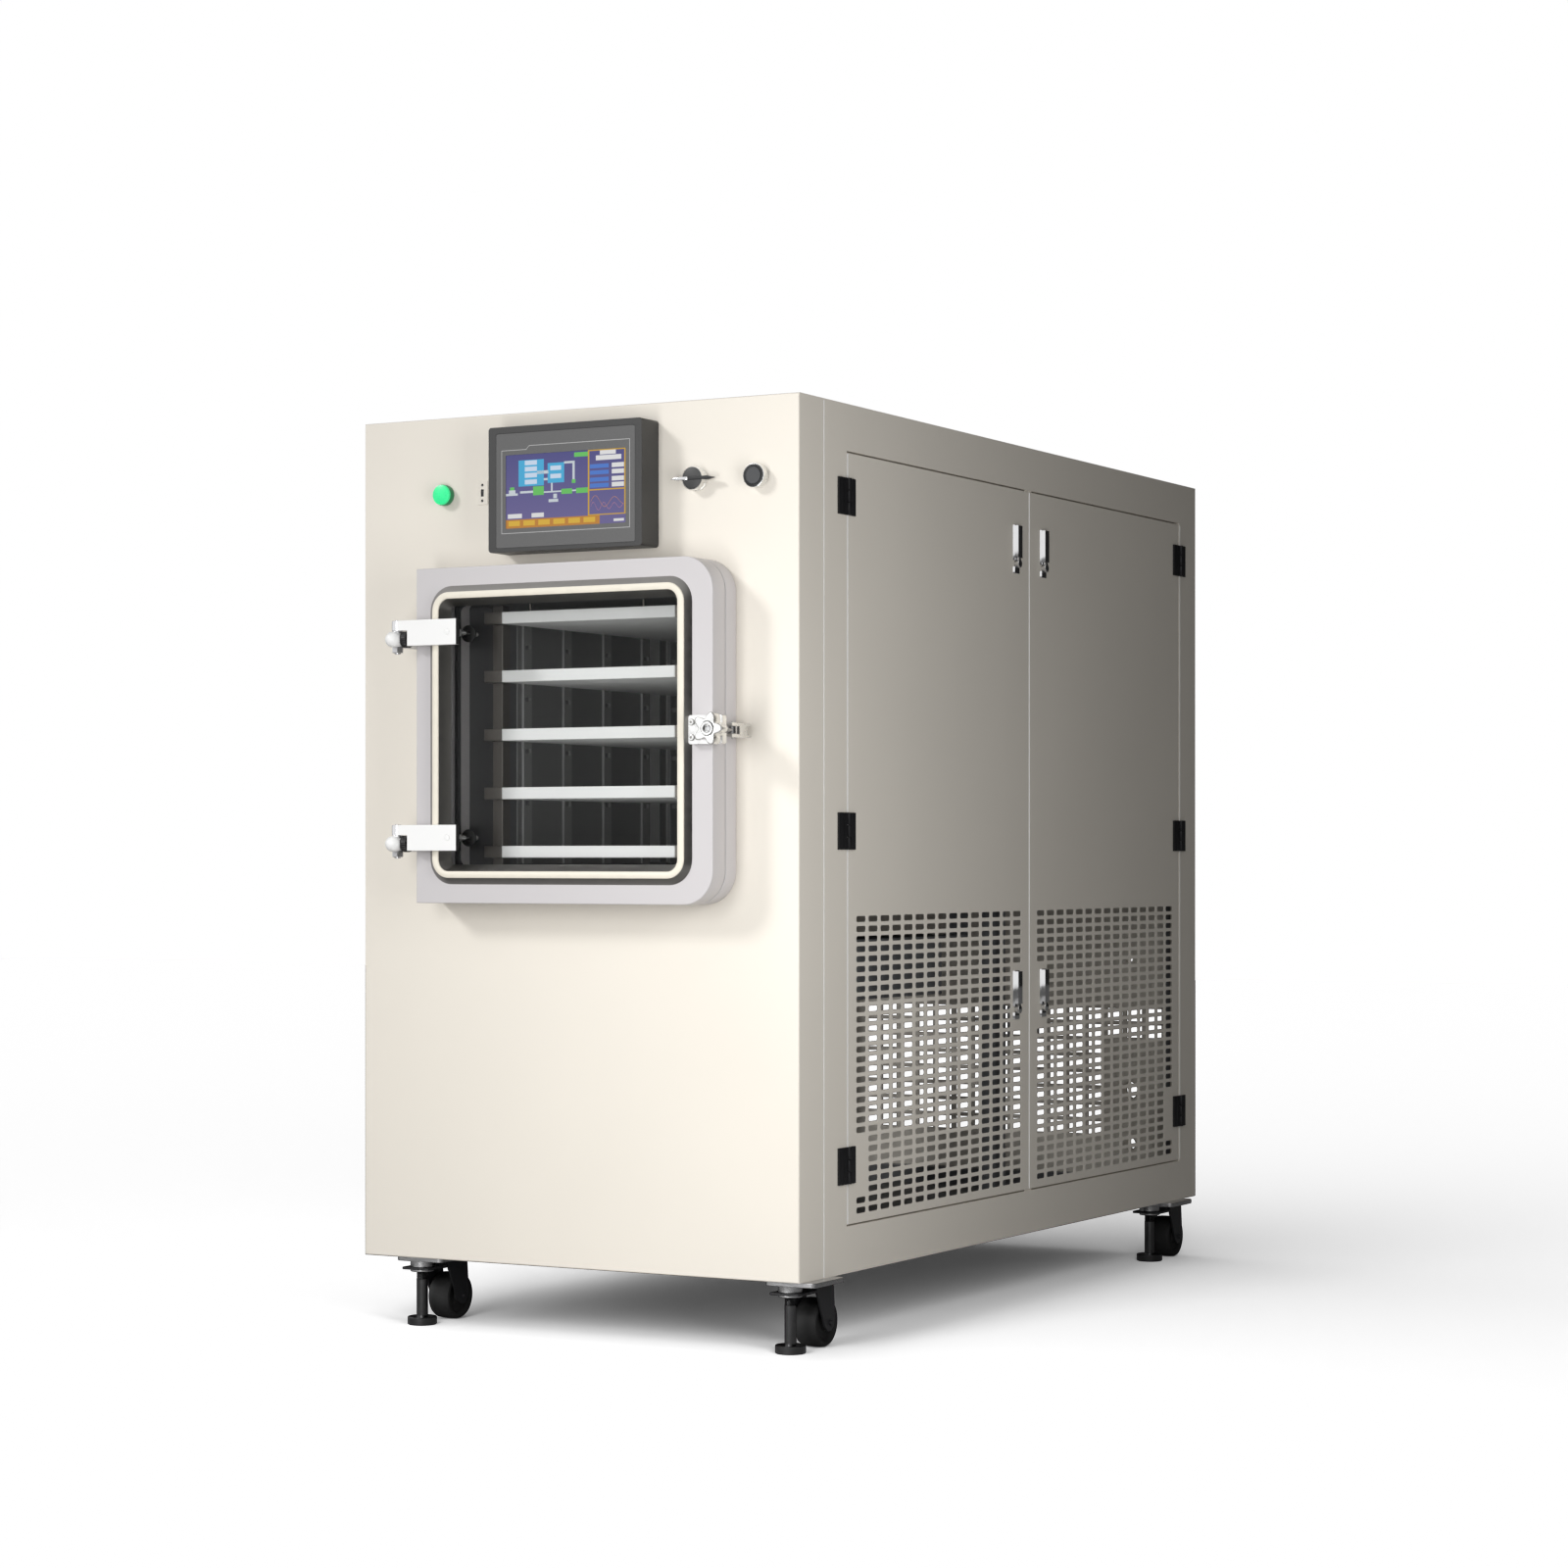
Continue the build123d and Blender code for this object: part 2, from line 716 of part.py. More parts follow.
def build_clamp_clevis():
    """Block cut out at the back and forked at the front; its pin carries the swing bolt."""
    block_u = around(bolt_u, clevis_width)
    slot_u = (block_u[0] - 1, block_u[1] + 1)
    slot_z = around(window_z, clevis_slot[1])
    with BuildPart() as clamp_clevis:
        block(block_u, out(0, clevis_out), around(window_z, clevis_height))
        block(slot_u, out(clevis_slot[0], clevis_out + 1), slot_z, mode=Mode.SUBTRACT)
        block(slot_u, out(-1, clevis_back), slot_z, mode=Mode.SUBTRACT)
        rod_z(bolt_u, -bolt_pivot_out, around(window_z, clevis_height + 2 * pivot_pin_proud),
              pivot_pin_radius)
    save(clamp_clevis, "clamp_clevis")


def build_swing_bolt():
    eye_z = around(window_z, bolt_eye_height)
    with BuildPart() as swing_bolt:
        rod_z(bolt_u, -bolt_pivot_out, eye_z, bolt_eye_radius)
        rod_y(bolt_u, window_z, out(bolt_pivot_out, bolt_end_out), bolt_radius)
        rod_z(bolt_u, -bolt_pivot_out, (eye_z[0] - 1, eye_z[1] + 1), pivot_pin_radius + fit,
              mode=Mode.SUBTRACT)
    save(swing_bolt, "swing_bolt")


def build_star_knob():
    with BuildPart() as star_knob:
        rod_y(bolt_u, window_z, out(*knob_hub[1:]), knob_hub[0])
        with BuildSketch(Plane.XZ.offset(-back(-knob_hub[2]))) as star:
            with Locations((across(bolt_u), up(window_z))):
                Circle(knob_lobe[0])
                with PolarLocations(knob_lobe[0], knob_lobes):
                    Circle(knob_lobe[1])
        extrude(star.sketch, amount=knob_star_front - knob_hub[2])
        rod_y(bolt_u, window_z, out(knob_star_front, knob_boss[1]), knob_boss[0])
        rod_y(bolt_u, window_z, out(knob_hub[1] - 1, knob_boss[1]), bolt_radius + fit,
              mode=Mode.SUBTRACT)
        rod_y(bolt_u, window_z, out(knob_recess, knob_boss[1] + 1), knob_bore,
              mode=Mode.SUBTRACT)
    save(star_knob, "star_knob")


# Controls --------------------------------------------------------------------------------

def build_touch_panel():
    with BuildPart() as housing:
        front_slab(hmi_u, hmi_z, out(0, hmi_out), hmi_corner)
        front_slab(plate_u, plate_z, out(hmi_out - plate_depth, hmi_out + 1),
                   plate_corner, mode=Mode.SUBTRACT)
    save(housing, "touch_panel_housing")
    with BuildPart() as screen:
        front_slab(around(mid(plate_u), span(plate_u) - 2 * fit),
                   around(mid(plate_z), span(plate_z) - 2 * fit),
                   out(hmi_out - plate_depth, hmi_out), plate_corner - fit)
    save(screen, "touch_panel_screen")


def build_power_lamp():
    with BuildPart() as power_lamp:
        rod_y(lamp_at[0], lamp_at[1], out(0, lamp_out), lamp_radius)
        fillet(power_lamp.faces().sort_by(Axis.Y)[0].edges(), lamp_round)
        rod_y(lamp_at[0], lamp_at[1], (0, lamp_barrel), switch_barrel)
    save(power_lamp, "power_lamp")


def build_switch_bezels():
    """Rings and barrels of the selector and of the push button, and the panel socket."""
    with BuildPart() as switch_bezels:
        for spot, front in ((selector_at, selector_ring_out), (button_at, button_ring_out)):
            rod_y(spot[0], spot[1], out(0, front), bezel_radius)
            rod_y(spot[0], spot[1], (0, switch_depth), switch_barrel)
            rod_y(spot[0], spot[1], (-front - 1, stem_bore_depth), switch_stem + fit,
                  mode=Mode.SUBTRACT)
        rod_y(button_at[0], button_at[1], out(bezel_floor, button_ring_out + 1),
              button_cap[0] + fit, mode=Mode.SUBTRACT)
        for size, y in ((socket_rim, (-socket_plate, 0)), (-2 * fit, (0, socket_depth))):
            front_slab(around(socket_at[0], socket_size[0] + size),
                       around(socket_at[1], socket_size[1] + size), y, socket_corner)
    save(switch_bezels, "switch_bezels")


def build_selector_knob():
    u, z = selector_at
    with BuildPart() as selector_knob:
        rod_y(u, z, out(selector_ring_out + fit, knob_disc[1]), knob_disc[0])
        front_slab(around(u, lever_bar[0]), around(z, lever_bar[1]), out(*lever_bar[2:]), 2)
        rod_y(u, z, (-selector_ring_out - fit, selector_stem), switch_stem)
    save(selector_knob, "selector_knob")


def build_push_button_cap():
    u, z = button_at
    with BuildPart() as push_button_cap:
        rod_y(u, z, out(*button_cap[1:]), button_cap[0])
        fillet(push_button_cap.faces().sort_by(Axis.Y)[0].edges(), 1.5)
        rod_y(u, z, (-button_cap[1], button_stem), switch_stem)
    save(push_button_cap, "push_button_cap")


# Side doors ------------------------------------------------------------------------------

hinge_axis_u = width + hinge_axis_out


def side_door(name, hinge_seam, holes_out):
    """Perforated door; hinge_seam and the middle seam are its two upright edges."""
    way = 1 if hinge_seam < side_seams[1] else -1
    hung = hinge_seam + way * door_play
    free = side_seams[1] - way * seam_play
    leaf_y = tuple(sorted((hung, free)))
    leaf_z = (side_door_z[0] + door_play, side_door_z[1] - door_play)
    inner_u = width - door_sheet
    field_y = mid((hinge_seam, side_seams[1]))
    with BuildPart() as door:
        with BuildSketch(Plane.YZ.offset(across(inner_u))) as skin:
            with Locations((back(mid(leaf_y)), up(mid(leaf_z)))):
                Rectangle(span(leaf_y), span(leaf_z))
            with Locations((back(field_y), up(hole_rows_mid))):
                with Locations(*hole_pattern(hole_grid[1], hole_grid[0], hole_pitch, holes_out)):
                    Rectangle(hole_size[0], hole_size[1], mode=Mode.SUBTRACT)
            for z in latch_z:
                spot = side_seams[1] - way * latch_offset
                with Locations((back(spot), up(z - latch_pivot_drop))):
                    Circle(latch_shaft + fit, mode=Mode.SUBTRACT)
        extrude(skin.sketch, amount=door_sheet)
        return_u = (inner_u - door_return, inner_u)
        return_end = side_seams[1] - way * (stop_strip[1] / 2 + door_play)
        block(return_u, sorted((hung, hung + way * door_sheet)), leaf_z)
        for z in (leaf_z[0], leaf_z[1] - door_sheet):
            block(return_u, sorted((hung, return_end)), (z, z + door_sheet))
    save(door, name)


def skipped_holes(hinge_column, latch_column):
    """Holes left out beside the lowest hinge and behind the lower latch."""
    low = [(hinge_column, j) for j in range(2, 8)]
    return low + [(latch_column, j) for j in range(17, 24)]


def knuckle(seam, z):
    rod_z(hinge_axis_u, seam, z, knuckle_radius)


def build_side_hinge_leaves():
    """Fixed leaves with two knuckles each, pins included."""
    with BuildPart() as leaves:
        for seam, way in ((side_seams[0], -1), (side_seams[2], 1)):
            for z in hinge_z:
                low, high = around(z, hinge_leaf[1])
                third = hinge_leaf[1] / 3
                leaf_y = sorted((seam + way * 1.0, seam + way * hinge_leaf[0]))
                for part_z in ((low, low + third - fit), (high - third + fit, high)):
                    block((width, width + hinge_leaf[2]), leaf_y, part_z)
                    knuckle(seam, part_z)
                plate_y = sorted((seam + way * 5.0, seam + way * hinge_leaf[0]))
                block((width, width + hinge_leaf[2]), plate_y, (low, high))
                rod_z(hinge_axis_u, seam, (low, high), hinge_pin_radius)
    save(leaves, "side_hinge_leaves")


def build_side_door_fittings(name, hinge_seam):
    """Moving hinge leaves and latch bases of one door."""
    way = 1 if hinge_seam < side_seams[1] else -1
    with BuildPart() as fittings:
        for z in hinge_z:
            low, high = around(z, hinge_leaf[1])
            third = hinge_leaf[1] / 3
            middle = (low + third + fit, high - third - fit)
            leaf_y = sorted((hinge_seam + way * 5.0, hinge_seam + way * hinge_leaf[0]))
            web_y = sorted((hinge_seam + way * 2.0, hinge_seam + way * 6.0))
            block((width, width + hinge_leaf[2]), leaf_y, (low, high))
            block((width, width + hinge_leaf[2]), web_y, middle)
            knuckle(hinge_seam, middle)
            rod_z(hinge_axis_u, hinge_seam, (low, high), hinge_pin_radius + fit,
                  mode=Mode.SUBTRACT)
        for z in latch_z:
            y = side_seams[1] - way * latch_offset
            block((width, width + latch_base[2]), around(y, latch_base[0]),
                  around(z, latch_base[1]))
            rod_x((width - 1, width + latch_base[2] + 1), y, z - latch_pivot_drop,
                  latch_shaft + fit, mode=Mode.SUBTRACT)
    save(fittings, name)


def build_latch_lever(name, way, z):
    """Grip bar outside the door, shaft through it and a cam arm inside."""
    y = side_seams[1] - way * latch_offset
    pivot = z - latch_pivot_drop
    face = width + latch_base[2] + 0.5
    cam_u = (width - cam_depth - latch_cam[2], width - cam_depth)
    with BuildPart() as lever:
        block((face, face + latch_bar[2]), around(y, latch_bar[0]), (pivot - 8, pivot + latch_bar[1] - 8))
        rod_x((cam_u[0], face), y, pivot, latch_shaft)
        block(cam_u, around(y, latch_cam[0]), (pivot - latch_cam[1], pivot + 5))
    save(lever, name)


# Machinery -------------------------------------------------------------------------------

def build_cold_trap():
    """Ice condenser vessel on saddles, with the vapour duct to the chamber's back wall."""
    with BuildPart() as cold_trap:
        rod_y(trap_u, window_z, trap_y, trap_radius)
        fillet(cold_trap.edges().filter_by(GeomType.CIRCLE), trap_round)
        rod_y(trap_u, window_z, (chamber_depth, trap_y[0] + duct_radius), duct_radius)
        rod_y(trap_u, window_z, (chamber_depth, chamber_depth + duct_flange[1]),
              duct_radius + duct_flange[0])
        for y in chamber_rail_rows[2:]:
            block(around(trap_u, saddle[0]), bar(y),
                  (chamber_rail_top, window_z - trap_radius + saddle[1]))
        rod_y(trap_u, window_z, (chamber_depth - 1, trap_y[0] + 20), duct_radius - chamber_wall,
              mode=Mode.SUBTRACT)
    save(cold_trap, "cold_trap")


def build_compressor():
    u, y = compressor_at
    foot, foot_height = compressor_foot
    radius, top, rounding = compressor_shell
    stub, aside, stub_base, stub_top = compressor_stub
    with BuildPart() as compressor:
        block(around(u, foot), around(y, foot), (base_sheet, base_sheet + foot_height), corner=20)
        rod_z(u, y, (base_sheet + foot_height, top), radius)
        fillet(compressor.faces().sort_by(Axis.Z)[-1].edges(), rounding)
        rod_z(u - aside, y - aside, (stub_base, stub_top), stub)
    save(compressor, "compressor")


def build_vacuum_pump():
    """Motor and oil box on one foot plate, with an exhaust filter on the box."""
    u, y = pump_at
    foot_width, ahead, behind, foot_height = pump_foot
    motor, motor_z, motor_ahead, motor_behind = pump_motor
    body_width, body_end, body_top = pump_body
    top = base_sheet + foot_height
    with BuildPart() as vacuum_pump:
        block(around(u, foot_width), (y - ahead, y + behind), (base_sheet, top), corner=10)
        block(around(u, foot_width * 0.3), (y - motor_ahead + 25, y), (top, motor_z - 50))
        rod_y(u, motor_z, (y - motor_ahead, y + motor_behind), motor)
        block(around(u, body_width), (y + motor_behind, y + body_end), (top, body_top), corner=12)
        rod_z(u - body_width / 4, y + mid((motor_behind, body_end)), (body_top, pump_filter[1]),
              pump_filter[0])
    save(vacuum_pump, "vacuum_pump")


def build_air_condenser():
    """Finned radiator with a shroud ring, standing on two feet, and a stub for the fan."""
    ring_u = (condenser_u[0] + condenser_core, condenser_u[1])
    centre = (mid(condenser_y), mid(condenser_z))
    with BuildPart() as air_condenser:
        block(condenser_u, condenser_y, condenser_z)
        rod_x((ring_u[0], ring_u[1] + 1), centre[0], centre[1], fan_radius + fan_gap,
              mode=Mode.SUBTRACT)
        rod_x((ring_u[0], ring_u[1] - 4), centre[0], centre[1], fan_shaft)
        for y in (condenser_y[0], condenser_y[1] - condenser_foot):
            block(condenser_u, (y, y + condenser_foot), (base_sheet, condenser_z[0] + 10))
    save(air_condenser, "air_condenser")


def build_condenser_fan():
    centre = (mid(condenser_y), mid(condenser_z))
    hub_u = (condenser_u[1] - 26, condenser_u[1] - 8)
    length, chord, thickness = fan_blade
    with BuildPart() as condenser_fan:
        rod_x(hub_u, centre[0], centre[1], fan_hub)
        with BuildSketch(Plane.YZ.offset(across(hub_u[0]))) as blades:
            with Locations((back(centre[0]), up(centre[1]))):
                with PolarLocations(fan_hub + length / 2 - 6, fan_blades):
                    Rectangle(length, chord)
        extrude(blades.sketch, amount=thickness)
        with BuildSketch(Plane.YZ.offset(across(hub_u[0] - 1))) as rim:
            with Locations((back(centre[0]), up(centre[1]))):
                Circle(fan_radius)
        extrude(rim.sketch, amount=span(hub_u) + 2, mode=Mode.INTERSECT)
        rod_x((hub_u[0] - 2, hub_u[1] + 2), centre[0], centre[1], fan_shaft + fit,
              mode=Mode.SUBTRACT)
    save(condenser_fan, "condenser_fan")


def build_electrical_box():
    """Box hung by two flanges and four tabs from the rails under the chamber."""
    tab = ebox_flange
    ends = ((chamber_rail_rows[0] + tab, ebox_y[0]), (ebox_y[1], chamber_rail_rows[1] + 26))
    tabs = ((ends[0][0], ends[0][0] + tab), (ends[1][1] - tab, ends[1][1]))
    with BuildPart() as electrical_box:
        block(ebox_u, ebox_y, ebox_z)
        for flange_y, tab_y in zip(ends, tabs):
            block(ebox_u, flange_y, (ebox_z[1] - tab, ebox_z[1]))
            for u in (ebox_u[0], ebox_u[1] - ebox_tab):
                block((u, u + ebox_tab), tab_y, (ebox_z[1], chamber_rail_top - tube_size))
    save(electrical_box, "electrical_box")


# Casters ---------------------------------------------------------------------------------

axle_z = wheel_lift + wheel_radius - caster_height
fork_z = (-fork_level[1], -fork_level[0])


def build_caster_plates():
    """Mounting plates with the hollow kingpin each fork turns on."""
    with BuildPart() as caster_plates:
        for u in caster_u:
            for y in caster_y:
                shift = (u + plate_shift[0], y + plate_shift[1])
                block(around(shift[0], caster_plate[0]), around(shift[1], caster_plate[1]),
                      (-caster_plate[2], 0), corner=8)
                rod_z(u, y, (fork_z[0] - 3.4, -caster_plate[2]), kingpin_radius)
                rod_z(u, y, (fork_z[1] + 0.4, -caster_plate[2]), race_radius)
                rod_z(u, y, (fork_z[0] - 3.4, fork_z[0] - 0.4), race_radius)
                rod_z(u, y, (fork_z[0] - 5, 1), foot_stem + foot_clearance, mode=Mode.SUBTRACT)
    save(caster_plates, "caster_plates")


def build_caster_fork(name, u, y):
    """Top plate that turns on the kingpin, with a leg hanging from each side of it."""
    with BuildPart() as fork:
        block(around(u, 2 * fork_leg[1]), (y + fork_top[0], y + fork_top[1]), fork_z, corner=4)
        for start in (u - fork_leg[1], u + fork_leg[0]):
            with BuildSketch(Plane.YZ.offset(across(start))) as leg:
                with BuildLine():
                    Polyline(*[(back(y + along), up(z)) for along, z in fork_side], close=True)
                make_face()
            extrude(leg.sketch, amount=fork_leg[1] - fork_leg[0])
        rod_x((u - fork_leg[1] - 4, u + fork_leg[1] + 4), y + trail, axle_z, axle_radius)
        rod_z(u, y, (fork_z[0] - 1, fork_z[1] + 1), kingpin_radius + fit, mode=Mode.SUBTRACT)
    save(fork, name)


def build_caster_wheel(name, u, y):
    wheel_u = around(u, wheel_width)
    with BuildPart() as wheel:
        rod_x(wheel_u, y + trail, axle_z, wheel_radius)
        fillet(wheel.edges().filter_by(GeomType.CIRCLE), 4)
        rod_x((wheel_u[0] - 1, wheel_u[1] + 1), y + trail, axle_z, axle_radius + fit,
              mode=Mode.SUBTRACT)
    save(wheel, name)


def build_caster_foot(name, u, y):
    pad_top = foot_pad[1] - caster_height
    with BuildPart() as foot:
        rod_z(u, y, (-caster_height, pad_top), foot_pad[0])
        rod_z(u, y, (pad_top, -caster_plate[2] - 7), foot_stem)
    save(foot, name)


def build_casters():
    build_caster_plates()
    for end, y in zip(("front", "rear"), caster_y):
        for hand, u in zip(("left", "right"), caster_u):
            corner = end + "_" + hand
            build_caster_fork("caster_fork_" + corner, u, y)
            build_caster_wheel("caster_wheel_" + corner, u, y)
            build_caster_foot("caster_foot_" + corner, u, y)


os.makedirs("parts", exist_ok=True)
build_frame()
build_front_panel()
build_top_panel()
build_left_side_panel()
build_rear_panel()
build_right_side_surround()
build_base_plate()
build_chamber_flange()
build_drying_chamber()
build_shelf_stack()
build_shelf_posts()
build_chamber_shields()
build_door_gasket()
build_door_frame()
build_window_bezel()
build_window_seal()
build_window_pane()
build_hinge_strap("hinge_strap_upper", strap_z[0])
build_hinge_strap("hinge_strap_lower", strap_z[1])
build_strap_bolts()
build_door_hinge_posts()
build_clamp_ear()
build_clamp_clevis()
build_swing_bolt()
build_star_knob()
build_touch_panel()
build_power_lamp()
build_switch_bezels()
build_selector_knob()
build_push_button_cap()
side_door("side_door_front", side_seams[0], skipped_holes(0, 14))
side_door("side_door_rear", side_seams[2], skipped_holes(14, 0))
build_side_hinge_leaves()
build_side_door_fittings("side_door_fittings_front", side_seams[0])
build_side_door_fittings("side_door_fittings_rear", side_seams[2])
for end, way in (("front", 1), ("rear", -1)):
    for level, z in zip(("upper", "lower"), latch_z):
        build_latch_lever("latch_lever_" + end + "_" + level, way, z)
build_cold_trap()
build_compressor()
build_vacuum_pump()
build_air_condenser()
build_condenser_fan()
build_electrical_box()
build_casters()
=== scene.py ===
"""Freeze dryer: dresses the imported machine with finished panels, door, controls and casters."""

import json
import math

import bmesh
import bpy
from bpy.props import FloatProperty, FloatVectorProperty, IntProperty, PointerProperty
from mathutils import Matrix, Vector

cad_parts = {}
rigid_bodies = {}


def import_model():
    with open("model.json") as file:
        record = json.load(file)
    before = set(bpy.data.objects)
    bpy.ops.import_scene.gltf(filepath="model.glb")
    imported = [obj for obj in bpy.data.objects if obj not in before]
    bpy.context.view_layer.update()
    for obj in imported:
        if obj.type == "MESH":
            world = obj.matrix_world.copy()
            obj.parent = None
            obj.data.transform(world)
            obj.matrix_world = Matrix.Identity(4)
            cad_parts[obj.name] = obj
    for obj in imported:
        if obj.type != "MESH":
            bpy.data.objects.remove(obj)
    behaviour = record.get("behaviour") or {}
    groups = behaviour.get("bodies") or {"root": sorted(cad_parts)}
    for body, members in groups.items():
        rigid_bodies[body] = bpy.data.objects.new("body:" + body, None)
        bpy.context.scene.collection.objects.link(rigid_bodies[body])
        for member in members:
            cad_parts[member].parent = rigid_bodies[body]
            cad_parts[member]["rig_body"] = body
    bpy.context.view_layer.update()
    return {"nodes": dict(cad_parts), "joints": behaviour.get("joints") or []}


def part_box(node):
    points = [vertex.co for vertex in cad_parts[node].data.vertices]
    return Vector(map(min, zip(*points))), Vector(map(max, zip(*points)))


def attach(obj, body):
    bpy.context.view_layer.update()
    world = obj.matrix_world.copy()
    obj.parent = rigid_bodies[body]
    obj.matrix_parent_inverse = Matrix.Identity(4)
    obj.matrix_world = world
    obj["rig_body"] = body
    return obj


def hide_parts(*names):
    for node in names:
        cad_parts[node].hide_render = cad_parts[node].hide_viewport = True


bl_info = {
    "name": "Freeze Dryer",
    "version": (1, 0, 0),
    "blender": (4, 5, 0),
    "location": "View3D > Sidebar > Freeze Dryer",
    "description": "Builds the visible pieces of a floor-standing freeze dryer around its packed frame",
    "category": "Add Mesh",
}

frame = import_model()

MM = 0.001
PLANES = {
    "front": Matrix(((1, 0, 0, 0), (0, 0, -1, 0), (0, 1, 0, 0), (0, 0, 0, 1))),
    "side": Matrix(((0, 0, 1, 0), (1, 0, 0, 0), (0, 1, 0, 0), (0, 0, 0, 1))),
    "top": Matrix.Identity(4),
}


# Settings ----------------------------------------------------------------------------------

def colour(name, description, default):
    return FloatVectorProperty(name=name, description=description, default=default, size=3,
                               subtype="COLOR", min=0.0, max=1.0)


def length(name, description, default):
    return FloatProperty(name=name, description=description, default=default, unit="LENGTH")


class FreezeDryerColours(bpy.types.PropertyGroup):
    """Colours of the paints, plastics and rubbers."""

    cream: colour("Cream coat", "Powder coat of the cabinet", (0.85, 0.80, 0.715))
    lilac: colour("Lilac coat", "Paint of the chamber flange and door frame", (0.60, 0.578, 0.585))
    white: colour("White coat", "Shelves and hinge straps", (0.92, 0.92, 0.91))
    grey: colour("Grey coat", "Tube frame and base plate", (0.16, 0.165, 0.17))
    housing: colour("Panel housing", "Touch panel housing", (0.035, 0.035, 0.035))
    plate: colour("Panel plate", "Touch panel front plate", (0.10, 0.10, 0.10))
    black: colour("Black plastic", "Side hinges, fan and grip nuts", (0.012, 0.012, 0.013))
    rubber: colour("Rubber", "Wheels and washers", (0.012, 0.012, 0.012))
    seal: colour("Window seal", "Cream seal round the window", (0.83, 0.78, 0.67))
    green: colour("Lamp lens", "Green indicator lens", (0.03, 0.72, 0.26))


class FreezeDryerSizes(bpy.types.PropertyGroup):
    """Edge radii and small details that the frame leaves to the dressing."""

    sheet_edge: length("Sheet edge", "Rounding of folded sheet edges", 0.4 * MM)
    plate_edge: length("Plate edge", "Rounding of thick plates", 1.2 * MM)
    hole_corner: length("Hole corner", "Corner radius of the ventilation holes", 3.5 * MM)
    hole_width: length("Hole width", "Width of one ventilation hole", 30 * MM)
    hole_height: length("Hole height", "Height of one ventilation hole", 9 * MM)
    hole_step: length("Hole step", "Spacing of holes along a row", 39 * MM)
    row_step: length("Row step", "Spacing of hole rows", 15 * MM)
    hole_columns: IntProperty(name="Columns", description="Holes in a row", default=15)
    hole_rows: IntProperty(name="Rows", description="Rows of holes on a door", default=30)
    hole_centre: length("Hole centre", "Height of the hole field's middle above the cabinet's "
                        "underside", 307.5 * MM)
    camera_lens: FloatProperty(name="Lens", description="Focal length in millimetres of film",
                               default=79.54)


def colours():
    return bpy.context.scene.freeze_dryer_colours


def sizes():
    return bpy.context.scene.freeze_dryer_sizes


# Shapes ------------------------------------------------------------------------------------

def outline(low, high, corners=0.0, steps=6):
    """Closed outline between two corners; radii run anticlockwise from the lower left."""
    radii = corners if isinstance(corners, tuple) else (corners,) * 4
    turns = ((low[0], low[1], 1, 1, 180), (high[0], low[1], -1, 1, 270),
             (high[0], high[1], -1, -1, 0), (low[0], high[1], 1, -1, 90))
    points = []
    for (a, b, to_a, to_b, start), radius in zip(turns, radii):
        for i in range(steps + 1 if radius > 0 else 1):
            angle = math.radians(start + 90 * i / steps)
            points.append((a + to_a * radius + radius * math.cos(angle),
                           b + to_b * radius + radius * math.sin(angle)))
    return points


def box_outline(low, high, *args):
    """Outline of a box as seen from the front."""
    return outline((low.x, low.z), (high.x, high.z), *args)


def lobed(a, b, steps, radius):
    """Closed outline round a point; its radius in millimetres is a function of the step."""
    points = []
    for i in range(steps):
        angle = 2 * math.pi * i / steps
        points.append((a + radius(i) * MM * math.cos(angle), b + radius(i) * MM * math.sin(angle)))
    return points


def circle(a, b, radius, steps):
    return lobed(a, b, steps, lambda i: radius)


def around(a, b, points):
    """Points given in millimetres from a place."""
    return [(a + p * MM, b + q * MM) for p, q in points]


def add_object(name, mesh, smooth=35):
    """Scene object for a mesh, shaded smooth below an angle unless its shading is set already."""
    mesh.name = name
    if smooth:
        for polygon in mesh.polygons:
            polygon.use_smooth = True
        mesh.set_sharp_from_angle(angle=math.radians(smooth))
    item = bpy.data.objects.new(name, mesh)
    bpy.context.scene.collection.objects.link(item)
    return item


def from_bmesh(name, mesh, smooth=35):
    data = bpy.data.meshes.new(name)
    mesh.to_mesh(data)
    mesh.free()
    return add_object(name, data, smooth)


def plate(name, loops, plane, near, far, edge=0.0):
    """Flat plate with rounded edges; the first loop is its outline and the others are holes."""
    curve = bpy.data.curves.new(name, "CURVE")
    curve.dimensions = "2D"
    curve.fill_mode = "BOTH"
    curve.extrude = (far - near) / 2 - edge
    curve.bevel_depth = edge
    curve.bevel_resolution = 2
    curve.offset = -edge
    for loop in loops:
        spline = curve.splines.new("POLY")
        spline.points.add(len(loop) - 1)
        for point, (a, b) in zip(spline.points, loop):
            point.co = (a, b, 0, 1)
        spline.use_cyclic_u = True
    holder = bpy.data.objects.new(name, curve)
    mesh = bpy.data.meshes.new_from_object(holder)
    bpy.data.objects.remove(holder)
    bpy.data.curves.remove(curve)
    middle = (near + far) / 2
    shift = Matrix.Translation((0, 0, -middle if plane == "front" else middle))
    mesh.transform(PLANES[plane] @ shift)
    seams = bmesh.new()
    seams.from_mesh(mesh)
    bmesh.ops.remove_doubles(seams, verts=seams.verts, dist=1e-6)
    seams.to_mesh(mesh)
    seams.free()
    item = add_object(name, mesh)
    normal = PLANES[plane].to_3x3() @ Vector((0, 0, 1))
    for polygon in mesh.polygons:
        polygon.use_smooth = abs(polygon.normal.dot(normal)) < 0.999
    return item


